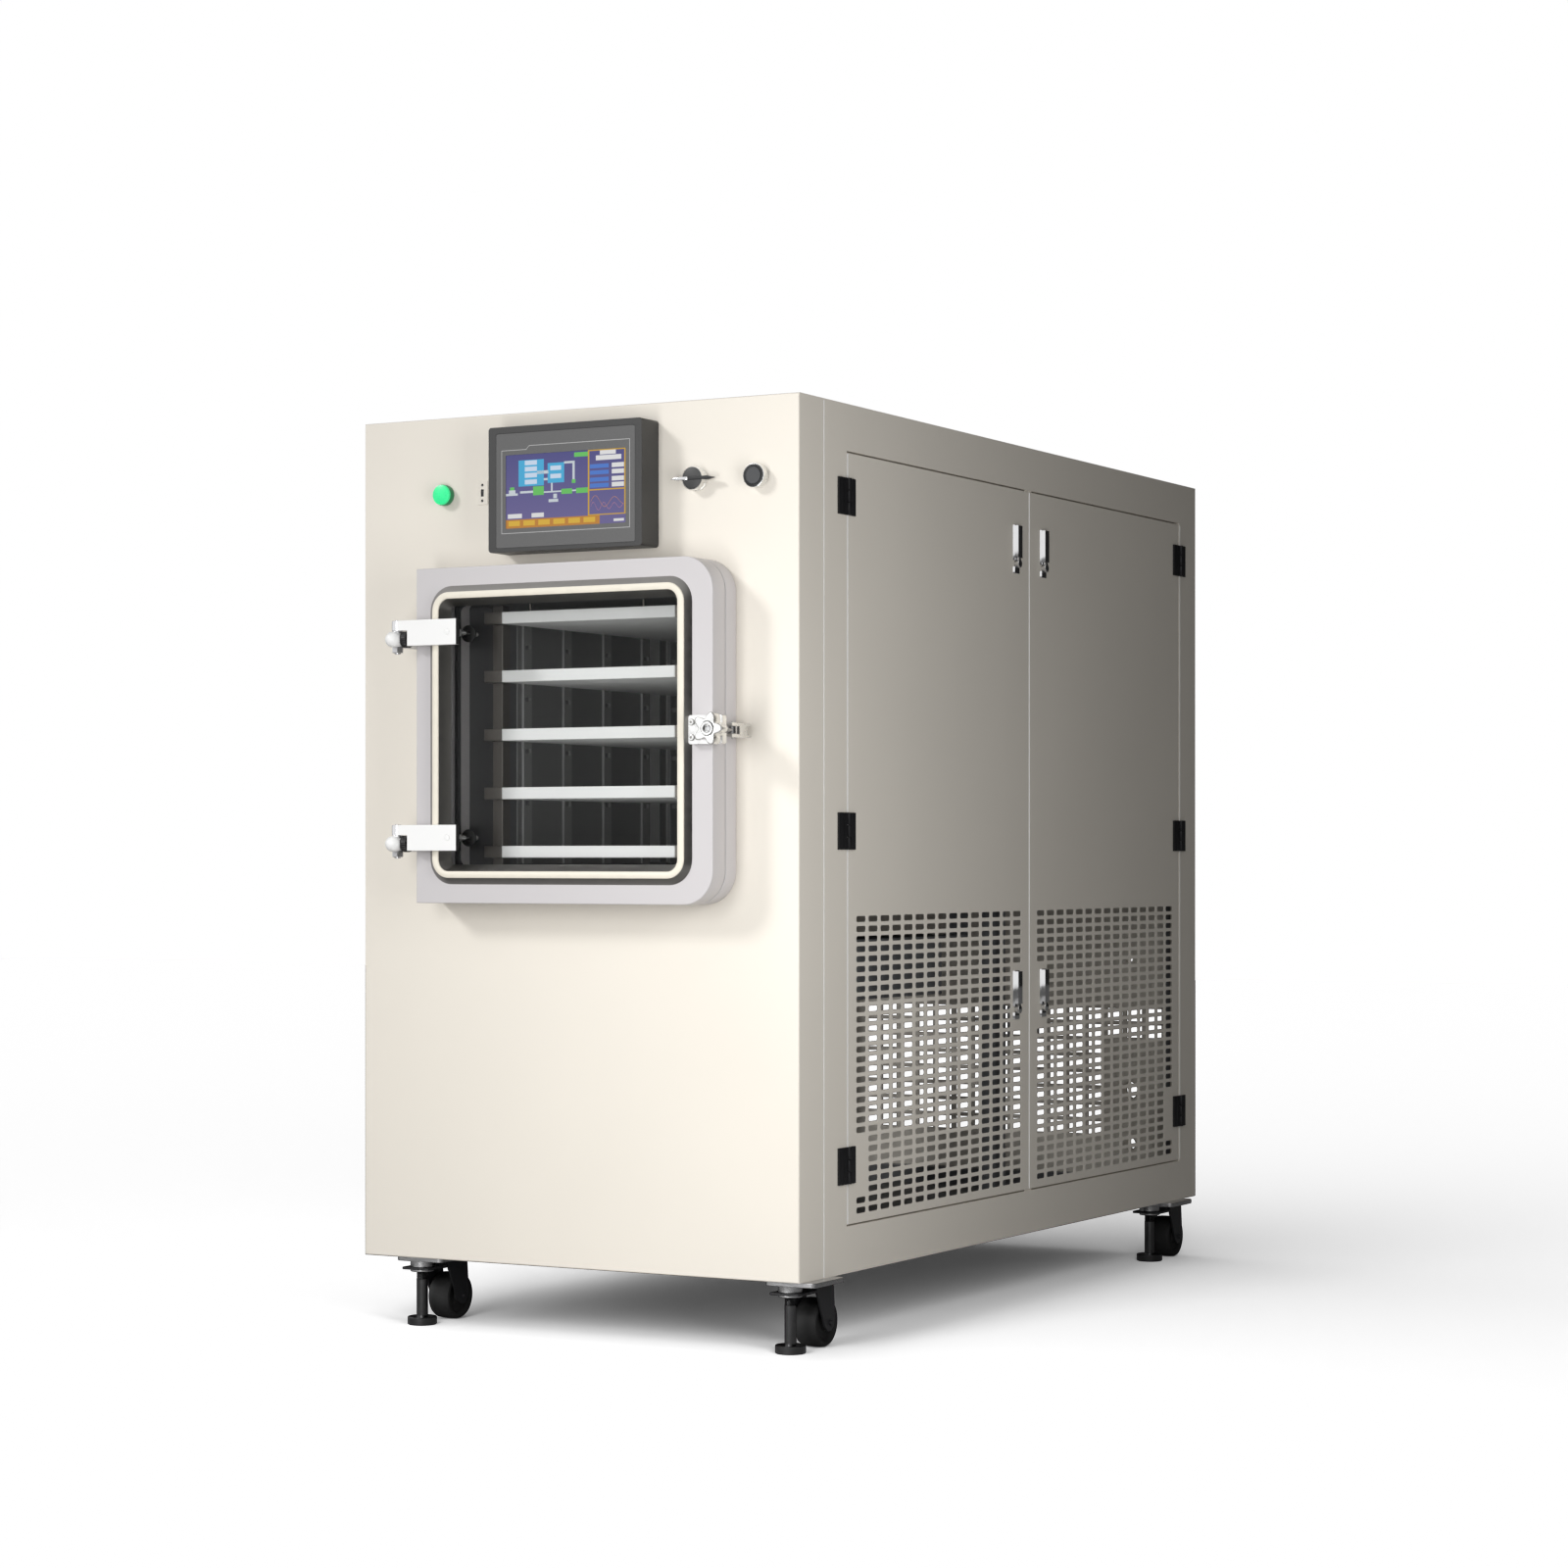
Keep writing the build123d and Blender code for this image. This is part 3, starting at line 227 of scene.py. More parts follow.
def turned(name, profile, axis, at, base, steps=48, smooth=35):
    """Solid of revolution; profile runs (radius, place along the axis from base) in millimetres."""
    mesh = bmesh.new()
    rings = []
    for radius, place in profile:
        ring = []
        for i in range(steps if radius > 0 else 1):
            angle = 2 * math.pi * i / steps
            ring.append(mesh.verts.new(axis_point(axis, at, radius * MM, angle, base + place * MM)))
        rings.append(ring)
    for near, far in zip(rings, rings[1:]):
        for i in range(steps):
            j = (i + 1) % steps
            corners = [near[i % len(near)], near[j % len(near)], far[j % len(far)],
                       far[i % len(far)]]
            corners = [v for k, v in enumerate(corners) if v not in corners[:k]]
            if len(corners) > 2:
                mesh.faces.new(corners)
    for ring in (rings[0], rings[-1]):
        if len(ring) > 1:
            mesh.faces.new(ring)
    bmesh.ops.recalc_face_normals(mesh, faces=mesh.faces)
    return from_bmesh(name, mesh, smooth)


def axis_point(axis, at, radius, angle, place):
    a, b = radius * math.cos(angle), radius * math.sin(angle)
    if axis == "x":
        return (place, at[1] + a, at[2] + b)
    if axis == "y":
        return (at[0] + b, place, at[2] + a)
    return (at[0] + a, at[1] + b, place)


def stepped(steps, edge):
    """Profile of stacked discs, each (radius, from, to), with every outer corner rounded."""
    profile = [(0.0, steps[0][1])]
    for radius, start, end in steps:
        way = 1 if end > start else -1
        cut = min(edge, radius / 2, abs(end - start) / 2.5)
        profile += [(radius - cut, start), (radius - 0.3 * cut, start + way * 0.3 * cut),
                    (radius, start + way * cut), (radius, end - way * cut),
                    (radius - 0.3 * cut, end - way * 0.3 * cut), (radius - cut, end)]
    profile.append((0.0, steps[-1][2]))
    return profile


def rod(name, radius, start, end, edge, axis, at, base, *args):
    """Round rod with rounded ends; all but base are in millimetres."""
    return turned(name, stepped([(radius, start, end)], edge), axis, at, base, *args)


def eye(bore, radius, tall, edge):
    """Profile of a bored sleeve whose outer corners are broken."""
    return [(bore, 0), (radius - edge, 0), (radius, edge), (radius, tall - edge),
            (radius - edge, tall), (bore, tall), (bore, 0)]


def thread(start, reach, turns, first, second, lag=0.0):
    """Profile of a thread: two radii in turn, the second half a pitch and a lag behind."""
    points = []
    for i in range(turns):
        place = start + reach * i / turns
        points += [(first, place), (second, place + reach * 0.5 / turns + lag)]
    return points


def joined(name, items):
    """One object out of several; each face keeps the shading that it has."""
    mesh = bmesh.new()
    for item in items:
        mesh.from_mesh(item.data)
        bpy.data.objects.remove(item)
    return from_bmesh(name, mesh, 0)


def bevelled(node, edge, segments=2):
    """Copy of a frame node with its facets merged and its corners rounded."""
    corner = 28
    data = frame["nodes"][node].data.copy()
    data.materials.clear()
    mesh = bmesh.new()
    mesh.from_mesh(data)
    bmesh.ops.remove_doubles(mesh, verts=mesh.verts, dist=2e-6)
    bmesh.ops.dissolve_limit(mesh, angle_limit=math.radians(0.5), verts=mesh.verts,
                             edges=mesh.edges)
    mesh.to_mesh(data)
    mesh.free()
    item = add_object(node + "_finished", data, corner)
    bevel = item.modifiers.new("rounded", "BEVEL")
    bevel.width = edge
    bevel.segments = segments
    bevel.limit_method = "ANGLE"
    bevel.angle_limit = math.radians(corner)
    bevel.use_clamp_overlap = True
    bevel.harden_normals = True
    return item


def block(name, low, high, edge=0.0, corner=0.0):
    """Rounded block between two corners, its long edges along X."""
    return plate(name, [outline((low[1], low[2]), (high[1], high[2]), corner)], "side",
                 low[0], high[0], edge)


def settle(item, body, look, *nodes, slot=None):
    """Gives a piece its look and its body and hides the nodes it stands for; the record slot that it
    works out is not used.
    """
    slot = slot or LOOKS[look][0]
    item.data.materials.append(finish(look))
    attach(item, body)
    if nodes:
        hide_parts(*nodes)
    return item


def dress(node, look, edge, segments=2):
    """Puts the rounded copy of a frame node in the node's place."""
    return settle(bevelled(node, edge, segments), body_of(node), look, node)


def recolour(item, look, chosen):
    """Second look for the faces that a test picks out."""
    item.data.materials.append(finish(look))
    for polygon in item.data.polygons:
        if chosen(polygon):
            polygon.material_index = 1


def centred_box(node):
    """Two corners and the middle of a node."""
    low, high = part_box(node)
    return low, high, (low + high) / 2


def extent(node):
    """Width, depth and height of a node in millimetres."""
    low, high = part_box(node)
    return (high - low) / MM


def body_of(node):
    return frame["nodes"][node]["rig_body"]


def joint_at(name):
    """Rest position of a joint's axis."""
    return Vector(next(j for j in frame["joints"] if j["name"] == name)["pos_m"])


def cabinet():
    """Outside of the cabinet: left, front and underside, then right, back and top."""
    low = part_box("front_panel")[0]
    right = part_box("right_side_surround")[1].x
    return low, Vector((right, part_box("rear_panel")[1].y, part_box("top_panel")[1].z))


# Finishes ----------------------------------------------------------------------------------

class Tree:
    """Short way to add and wire the nodes of a material or a world."""

    def __init__(self, owner):
        owner.use_nodes = True
        self.tree = owner.node_tree

    def add(self, kind, values=(), **settings):
        """New node with settings of its own and (socket, value) pairs."""
        node = self.tree.nodes.new("ShaderNode" + kind)
        for key, value in settings.items():
            setattr(node, key, value)
        for key, value in values:
            node.inputs[key].default_value = value
        return node

    def link(self, output, socket):
        self.tree.links.new(output, socket)


class Nodes(Tree):
    """Node tree of one material, with the patterns that the finishes share."""

    def __init__(self, name):
        self.material = bpy.data.materials.new(name)
        super().__init__(self.material)
        self.shader = self.tree.nodes["Principled BSDF"]
        self.place = self.add("TexCoord").outputs["Object"]

    def noise(self, scale, detail=2.0, stretch=(1, 1, 1)):
        mapping = self.add("Mapping", [("Scale", stretch)])
        self.link(self.place, mapping.inputs["Vector"])
        noise = self.add("TexNoise", [("Scale", scale), ("Detail", detail)])
        self.link(mapping.outputs["Vector"], noise.inputs["Vector"])
        return noise.outputs["Fac"]

    def spread(self, source, low, high, start=0.3, end=0.7):
        """Maps a range, by default the middle of a noise, to another."""
        span = self.add("MapRange", [("From Min", start), ("From Max", end),
                                               ("To Min", low), ("To Max", high)])
        self.link(source, span.inputs["Value"])
        return span.outputs["Result"]

    def mix(self, source, first, second):
        mix = self.add("Mix", [("A", (*first, 1)), ("B", (*second, 1))], data_type="RGBA")
        self.link(source, mix.inputs["Factor"])
        return mix.outputs["Result"]

    def tint(self, source, rgb, low, high):
        """Base colour that drifts between two shades of one colour."""
        drift = self.mix(self.spread(source, 0.0, 1.0), shade(rgb, low), shade(rgb, high))
        self.link(drift, self.shader.inputs["Base Color"])

    def relief(self, source, strength, distance):
        bump = self.add("Bump", [("Strength", strength), ("Distance", distance)])
        self.link(source, bump.inputs["Height"])
        self.link(bump.outputs["Normal"], self.shader.inputs["Normal"])

    def rough(self, source, low, high):
        self.link(self.spread(source, low, high), self.shader.inputs["Roughness"])

    def surface(self, **values):
        """Fixed inputs of the shader, by socket name with underscores; returns the material."""
        for key, value in values.items():
            self.shader.inputs[key.replace("_", " ")].default_value = value
        return self.material


def shade(rgb, factor):
    return tuple(min(1.0, channel * factor) for channel in rgb)


def powder_coat(name, rgb, roughness, texture=0.12):
    """Baked paint: orange-peel relief, and tone that drifts a little over a panel."""
    nodes = Nodes(name)
    nodes.tint(nodes.noise(3.0), rgb, 0.985, 1.01)
    grain = nodes.noise(1300.0, 3.0)
    nodes.rough(grain, roughness - 0.04, roughness + 0.05)
    nodes.relief(grain, texture, 0.05 * MM)
    return nodes.surface(Specular_IOR_Level=0.5)


def brushed_metal(name, rgb, roughness, stretch, metallic=1.0):
    """Metal with fine lines along the axis whose stretch is smallest."""
    nodes = Nodes(name)
    lines = nodes.noise(1.0, 4.0, stretch)
    nodes.tint(lines, rgb, 0.9, 1.06)
    nodes.rough(lines, roughness - 0.07, roughness + 0.09)
    nodes.relief(lines, 0.12, 0.02 * MM)
    return nodes.surface(Metallic=metallic)


def polished_metal(name, rgb, roughness):
    """Plated metal with faint handling marks in its gloss."""
    nodes = Nodes(name)
    marks = nodes.noise(90.0, 4.0)
    nodes.tint(marks, rgb, 0.97, 1.02)
    nodes.rough(marks, roughness, roughness + 0.09)
    return nodes.surface(Metallic=1.0)


def moulded_plastic(name, rgb, roughness, grain_size=900.0, relief=0.15):
    """Moulded plastic with a fine spark-eroded grain."""
    nodes = Nodes(name)
    grain = nodes.noise(grain_size, 3.0)
    nodes.tint(grain, rgb, 0.88, 1.15)
    nodes.rough(grain, roughness - 0.05, roughness + 0.08)
    nodes.relief(grain, relief, 0.04 * MM)
    return nodes.material


def dim_plastic(name, rgb):
    """Side of a lens, which is darker than its lit face."""
    return moulded_plastic(name, shade(rgb, 0.35), 0.35)


def soft_rubber(name, rgb, roughness=0.7, faint=0.85, full=1.35):
    """Rubber with a dusty bloom in broad patches."""
    nodes = Nodes(name)
    bloom = nodes.noise(45.0, 5.0)
    nodes.tint(bloom, rgb, faint, full)
    nodes.rough(bloom, roughness - 0.08, roughness + 0.1)
    nodes.relief(nodes.noise(1500.0, 2.0), 0.2, 0.04 * MM)
    return nodes.material


def lens(name, rgb):
    """Lit translucent lens with a mottled core."""
    nodes = Nodes(name)
    nodes.tint(nodes.noise(60.0, 2.0), rgb, 0.9, 1.15)
    nodes.rough(nodes.noise(500.0), 0.25, 0.35)
    return nodes.surface(Emission_Color=(*rgb, 1), Emission_Strength=0.35)


def pane_glass(name, rgb):
    """Wiped clear pane: light passes straight through and the surface mirrors at a glance."""
    nodes = Nodes(name)
    nodes.tree.nodes.remove(nodes.shader)
    through = nodes.add("BsdfTransparent", [("Color", (*rgb, 1))])
    gloss = nodes.add("BsdfGlossy")
    nodes.link(nodes.spread(nodes.noise(14.0, 3.0), 0.01, 0.05), gloss.inputs["Roughness"])
    rim = nodes.add("Fresnel", [("IOR", 1.2)])
    mix = nodes.add("MixShader")
    nodes.link(rim.outputs["Fac"], mix.inputs["Fac"])
    nodes.link(through.outputs["BSDF"], mix.inputs[1])
    nodes.link(gloss.outputs["BSDF"], mix.inputs[2])
    nodes.link(mix.outputs["Shader"], nodes.tree.nodes["Material Output"].inputs["Surface"])
    return nodes.material


def lit_field(name, rgb, top=None):
    """Lit area of the display, its rows of dots just visible; it may fade upwards."""
    nodes = Nodes(name)
    rows = nodes.add("TexWave", [("Scale", 700.0)], bands_direction="Z")
    nodes.link(nodes.place, rows.inputs["Vector"])
    low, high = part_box("touch_panel_screen")
    split = nodes.add("SeparateXYZ")
    nodes.link(nodes.place, split.inputs["Vector"])
    height = nodes.spread(split.outputs["Z"], 0.0, 1.0, low.z, high.z)
    dim = nodes.add("Mix", [("Factor", 1.0)], data_type="RGBA", blend_type="MULTIPLY")
    nodes.link(nodes.mix(height, rgb, top or shade(rgb, 1.08)), dim.inputs["A"])
    nodes.link(nodes.spread(rows.outputs["Fac"], 0.93, 1.0), dim.inputs["B"])
    nodes.link(dim.outputs["Result"], nodes.shader.inputs["Emission Color"])
    return nodes.surface(Emission_Strength=0.8, Base_Color=(0.01, 0.01, 0.012, 1), Roughness=0.25)


# Each look: its record slot, its maker, its colour or the setting that holds it, and the rest
LINES_ALONG_Z = (1400, 1400, 40)
LOOKS = {
    "cream_powder_coat": ("cream_paint", powder_coat, "cream", 0.42),
    "lilac_satin_paint": ("lilac_paint", powder_coat, "lilac", 0.38, 0.06),
    "white_satin_paint": ("white_paint", powder_coat, "white", 0.4, 0.05),
    "grey_frame_paint": ("grey_paint", powder_coat, "grey", 0.5),
    "black_machine_paint": ("dark_paint", powder_coat, (0.02, 0.02, 0.022), 0.42, 0.2),
    "printed_line": ("grey_plastic", powder_coat, (0.55, 0.55, 0.55), 0.5, 0.05),
    "studio_floor": (None, powder_coat, (0.42, 0.42, 0.42), 0.8, 0.02),
    "satin_steel": ("steel", brushed_metal, (0.62, 0.62, 0.63), 0.3, (60, 1400, 1400)),
    "chamber_steel": ("steel", brushed_metal, (0.13, 0.13, 0.133), 0.45, (1400, 60, 1400), 0.3),
    "liner_steel": ("steel", brushed_metal, (0.26, 0.26, 0.262), 0.5, LINES_ALONG_Z, 0.2),
    "strip_steel": ("steel", brushed_metal, (0.4, 0.4, 0.4), 0.45, LINES_ALONG_Z, 0.2),
    "plate_steel": ("steel", brushed_metal, (0.9, 0.9, 0.9), 0.4, LINES_ALONG_Z, 0.2),
    "rack_steel": ("dark_steel", brushed_metal, (0.17, 0.155, 0.14), 0.4, (1400, 1400, 50)),
    "raw_aluminium": ("aluminium", brushed_metal, (0.7, 0.71, 0.72), 0.34, (1200, 1200, 50)),
    "bezel_steel": ("dark_steel", polished_metal, (0.3, 0.292, 0.278), 0.3),
    "bright_chrome": ("chrome", polished_metal, (0.82, 0.82, 0.83), 0.06),
    "satin_chrome": ("steel", polished_metal, (0.86, 0.86, 0.85), 0.24),
    "gloss_black_paint": ("dark_paint", polished_metal, (0.13, 0.13, 0.133), 0.16),
    "copper_pipe": ("aluminium", polished_metal, (0.72, 0.33, 0.18), 0.25),
    "black_plastic": ("black_plastic", moulded_plastic, "black", 0.45),
    "housing_plastic": ("black_plastic", moulded_plastic, "housing", 0.42),
    "plate_film": ("grey_plastic", moulded_plastic, "plate", 0.5, 1600.0, 0.05),
    "button_disc": ("grey_plastic", moulded_plastic, (0.045, 0.047, 0.05), 0.4),
    "lamp_side": ("green_lens", dim_plastic, "green"),
    "lamp_lens": ("green_lens", lens, "green"),
    "black_rubber": ("black_rubber", soft_rubber, "rubber"),
    "gasket_rubber": ("black_rubber", soft_rubber, (0.012, 0.012, 0.012), 0.8),
    "cream_seal": ("cream_seal", soft_rubber, "seal", 0.55, 0.97, 1.03),
    "clear_pane": ("clear_pane", pane_glass, (0.99, 0.995, 0.993)),
}
finishes = {}


def finish(look):
    """The material of a look, made the first time it is asked for."""
    if look not in finishes:
        _, maker, rgb, *values = LOOKS[look]
        if isinstance(rgb, str):
            rgb = tuple(getattr(colours(), rgb))
        finishes[look] = maker(look, rgb, *values)
    return finishes[look]


# Cabinet -----------------------------------------------------------------------------------

def middle_seam():
    """Depth of the seam between the two service doors."""
    return (joint_at("side_door_front").y + joint_at("side_door_rear").y) / 2 - 0.4 * MM


def hole_field(door, skipped=(), rows_in_one=1):
    """Outlines of the ventilation holes round the middle of one door, from hinge to seam."""
    values = sizes()
    middle_y = (joint_at(door).y + middle_seam()) / 2
    middle_z = cabinet()[0].z + values.hole_centre
    step = values.row_step * rows_in_one
    rows = values.hole_rows // rows_in_one
    half_wide = values.hole_width / 2
    half_tall = (values.hole_height + step - values.row_step) / 2
    holes = []
    for i in range(values.hole_columns):
        y = middle_y + (i - (values.hole_columns - 1) / 2) * values.hole_step
        for j in range(rows):
            z = middle_z + (j - (rows - 1) / 2) * step
            if (i, j) not in skipped:
                holes.append(outline((y - half_wide, z - half_tall), (y + half_wide, z + half_tall),
                                     values.hole_corner, 3))
    return holes


class FREEZEDRYER_OT_panels(bpy.types.Operator):
    """Painted sheet panels, the tube frame and the base plate"""

    bl_idname = "freeze_dryer.panels"
    bl_label = "Panels"

    def execute(self, context):
        edge = sizes().sheet_edge
        for node in ("front_panel", "top_panel", "rear_panel", "right_side_surround"):
            dress(node, "cream_powder_coat", edge)
        for node in ("frame", "base_plate"):
            dress(node, "grey_frame_paint", edge)
        low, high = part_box("left_side_panel")
        loops = [outline((low.y, low.z), (high.y, high.z))]
        for door in ("side_door_front", "side_door_rear"):
            loops += hole_field(door, (), 2)
        side = plate("left_side_sheet", loops, "side", low.x, high.x, edge)
        settle(side, body_of("left_side_panel"), "cream_powder_coat", "left_side_panel")
        return {"FINISHED"}


class FREEZEDRYER_OT_service_doors(bpy.types.Operator):
    """Perforated service doors with folded returns"""

    bl_idname = "freeze_dryer.service_doors"
    bl_label = "Service doors"

    def execute(self, context):
        last = sizes().hole_columns - 1
        for end, hinge_column in (("front", 0), ("rear", last)):
            skipped = [(hinge_column, j) for j in range(2, 8)]
            skipped += [(last - hinge_column, j) for j in range(17, 24)]
            self.door(end, skipped)
        self.seams()
        return {"FINISHED"}

    def door(self, end, skipped):
        node = "side_door_" + end
        low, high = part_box(node)
        thick = 1.2 * MM
        clear = 13 * MM
        loops = [outline((low.y, low.z), (high.y, high.z), 1 * MM)] + hole_field(node, skipped)
        for level in ("upper", "lower"):
            pivot = joint_at("latch_lever_%s_%s" % (end, level))
            loops.append(circle(pivot.y, pivot.z, 4.85, 24))
        inner = high.x - thick
        if end == "front":
            hung, start, stop = low.y, low.y + thick, high.y - clear
        else:
            hung, start, stop = high.y - thick, low.y + clear, high.y - thick
        parts = [plate(node + "_skin", loops, "side", inner, high.x, sizes().sheet_edge),
                 block(node + "_fold", (low.x, hung, low.z), (inner, hung + thick, high.z))]
        for z in (low.z, high.z - thick):
            parts.append(block(node + "_fold", (low.x, start, z), (inner, stop, z + thick)))
        settle(joined(node + "_sheet", parts), node, "cream_powder_coat", node)

    def seams(self):
        """Rounded folds on the sheet edges that face forward, which catch the light; their white paint
        over the cream coat is a painted highlight.
        """
        section = ((-1.4, -0.15), (0.2, -0.15), (0.7, 0.1), (0.8, 0.5), (0.6, 1.0), (0.05, 1.6),
                   (0.05, 0.05), (-1.4, 0.05))
        front, rear, surround = (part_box(node) for node in ("side_door_front", "side_door_rear",
                                                           "right_side_surround"))
        fixed = body_of("right_side_surround")
        hinge_edge = 2 * joint_at("side_door_rear").y - rear[1].y
        for name, body, edge, (low, high) in (("corner", fixed, surround[0].y, surround),
                                              ("front", "side_door_front", front[0].y, front),
                                              ("middle", "side_door_rear", rear[0].y, rear),
                                              ("rear", fixed, hinge_edge, rear)):
            fold = plate("seam_highlight_fold_" + name, [around(surround[1].x, edge, section)], "top",
                         low.z + 1 * MM, high.z - 1 * MM)
            # The folds are cream like the cabinet; their white paint is a painted highlight along each
            # seam.
            settle(fold, body, "white_satin_paint", slot="cream_paint")


class FREEZEDRYER_OT_door_fittings(bpy.types.Operator):
    """Ribbed plastic hinges and chrome lift latches of the service doors"""

    bl_idname = "freeze_dryer.door_fittings"
    bl_label = "Hinges and latches"
    half = 27.5

    def execute(self, context):
        fixed, moving = [], {"front": [], "rear": []}
        for end, way in (("front", 1), ("rear", -1)):
            axis = joint_at("side_door_" + end)
            for z in self.hinge_heights():
                fixed += self.leaf(axis, z, -way, True)
                moving[end] += self.leaf(axis, z, way, False)
        settle(joined("hinge_leaves_fixed", fixed), body_of("side_hinge_leaves"), "black_plastic",
               "side_hinge_leaves")
        for end in ("front", "rear"):
            body = "side_door_" + end
            settle(joined("hinge_leaves_" + end, moving[end]), body, "black_plastic",
                   "side_door_fittings_" + end)
            for level in ("upper", "lower"):
                self.latch(end, level, body)
        return {"FINISHED"}

    def hinge_heights(self):
        """Middle heights of the three hinges on each door."""
        low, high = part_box("side_hinge_leaves")
        return (high.z - self.half * MM, cabinet()[0].z + 656 * MM, low.z + self.half * MM)

    def leaf(self, axis, z, way, fixed):
        """One leaf: a ribbed plate beside the pin and the knuckles it wraps round."""
        face = cabinet()[1].x
        half, split, gap = self.half, self.half / 3, 0.35
        wide = way if way > 0 else way * 1.22
        ribs = ((5, 4.2), (6, 4.2), (7.5, 3.2), (11, 3.2), (12.5, 4.4), (18, 4.4), (19.5, 3.2),
                (22, 3.2), (23.4, 3.0), (24, 2.2))
        section = [(0.05, way * 5)] + [(t, wide * s) for s, t in ribs] + [(0.05, wide * 24)]
        parts = [plate("leaf", [around(face, axis.y, section)], "top", z - half * MM,
                       z + half * MM, 0.3 * MM)]
        spans = ((gap - split, split - gap),)
        if fixed:
            spans = ((-half, -split - gap), (split + gap, half))
        for start, end in spans:
            web = [(0.3, way * 1.6), (4.2, way * 1.6), (4.2, way * 6), (0.3, way * 6)]
            parts += [plate("web", [around(face, axis.y, web)], "top", z + start * MM,
                            z + end * MM, 0.1 * MM),
                      rod("knuckle", 3.7, start, end, 0.5, "z", axis, z, 24)]
        for side in (-1, 1):
            at = (face, axis.y + way * 9.2 * MM, z + side * 16 * MM)
            parts.append(rod("screw", 2.2, 2, 3.6, 0.4, "x", at, face, 20))
        return parts

    def latch(self, end, level, body):
        """Drafted chrome base, and the grip bar that turns on it with its cam."""
        node = "latch_lever_%s_%s" % (end, level)
        pivot = joint_at(node)
        face = cabinet()[1].x
        low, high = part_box(node)
        out = (high.x - face) / MM
        base = [self.drafted(pivot, face, 0.05, 3.2, 10, 9, *span) for span in ((5, 63), (-16, -5))]
        settle(joined("latch_base_%s_%s" % (end, level), base), body, "bright_chrome")
        parts = [self.drafted(pivot, face, 3.5, out, 9.6, 8, 9, 62),
                 rod("lock", 7, 3.6, out, 0.8, "x", pivot, face, 32),
                 rod("shaft", 4.5, -13, 4.2, 0.4, "x", pivot, face, 24),
                 block("neck", (face + 4 * MM, pivot.y - 4 * MM, pivot.z),
                       (high.x - 0.8 * MM, pivot.y + 4 * MM, pivot.z + 10 * MM), 0.3 * MM),
                 block("cam", (low.x, pivot.y - 5 * MM, low.z),
                       (low.x + 4 * MM, pivot.y + 5 * MM, pivot.z + 5 * MM), 0.5 * MM, 3 * MM)]
        settle(joined(node + "_grip", parts), node, "bright_chrome", node)

    def drafted(self, pivot, face, near, far, foot, crown, low, high):
        """Upright bar whose sides lean inwards, from half width foot to half width crown."""
        section = [(near, -foot), (far, -crown), (far, crown), (near, foot)]
        return plate("bar", [around(face, pivot.y, section)], "top", pivot.z + low * MM,
                     pivot.z + high * MM, 0.4 * MM)


# Chamber and its door ----------------------------------------------------------------------

def door_outline(low, high):
    """Square on the hinge side, rounded on the clamp side."""
    radius = 50 * MM
    return box_outline(low, high, (0.0, radius, radius, 0.0), 14)


def window_ring(name, stations, centre, base, smooth=30):
    """Ring swept through rounded rectangles (width, height, corner, depth from base), in mm."""
    mesh = bmesh.new()
    loops = []
    for wide, tall, corner, depth in stations:
        half = Vector((wide / 2, 0, tall / 2)) * MM
        loop = box_outline(centre - half, centre + half, corner * MM, 10)
        loops.append([mesh.verts.new((a, base + depth * MM, b)) for a, b in loop])
    count = len(loops[0])
    for near, far in zip(loops, loops[1:] + loops[:1]):
        for i in range(count):
            j = (i + 1) % count
            mesh.faces.new((near[i], near[j], far[j], far[i]))
    bmesh.ops.recalc_face_normals(mesh, faces=mesh.faces)
    return from_bmesh(name, mesh, smooth)


def inset(size, wide, tall):
    """Width and height of a rectangle that is smaller than a piece or another rectangle."""
    return size[0] - wide, size[-1] - tall


class FREEZEDRYER_OT_chamber(bpy.types.Operator):
    """Vacuum chamber, shelves, rack and slotted side shields"""

    bl_idname = "freeze_dryer.chamber"
    bl_label = "Chamber and shelves"

    def execute(self, context):
        dress("drying_chamber", "chamber_steel", 0.5 * MM)
        dress("shelf_stack", "white_satin_paint", 1.2 * MM)
        dress("shelf_posts", "rack_steel", 0.6 * MM)
        shields = dress("chamber_shields", "liner_steel", 0.3 * MM)
        liner_low, liner_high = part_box("chamber_shields")
        recolour(shields, "strip_steel", lambda face: min(
            face.center.x - liner_low.x, liner_high.x - face.center.x) > 2.5 * MM)
        self.rear_plates(liner_low, liner_high)
        low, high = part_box("chamber_flange")
        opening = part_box("drying_chamber")
        wall = Vector((19 * MM, 0, 19 * MM))
        mouth = box_outline(opening[0] + wall, opening[1] - wall, 6 * MM, 8)
        flange = plate("chamber_flange_ring", [door_outline(low, high), mouth], "front", low.y,
                       high.y, sizes().plate_edge)
        settle(flange, body_of("chamber_flange"), "lilac_satin_paint", "chamber_flange")
        return {"FINISHED"}

    def rear_plates(self, low, high):
        """Two plain plates over the rear end of each side shield."""
        mouth = cabinet()[0].y
        plates = []
        for wall, way in ((low.x, 1), (high.x, -1)):
            near, far = sorted((wall + way * 4.2 * MM, wall + way * 5.4 * MM))
            for start, end in ((522, 552), (574, 640)):
                plates.append(block("plate", (near, mouth + start * MM, low.z + 2 * MM),
                                    (far, mouth + end * MM, high.z - 2 * MM), 0.3 * MM))
        settle(joined("shield_rear_plates", plates), body_of("chamber_shields"), "plate_steel")


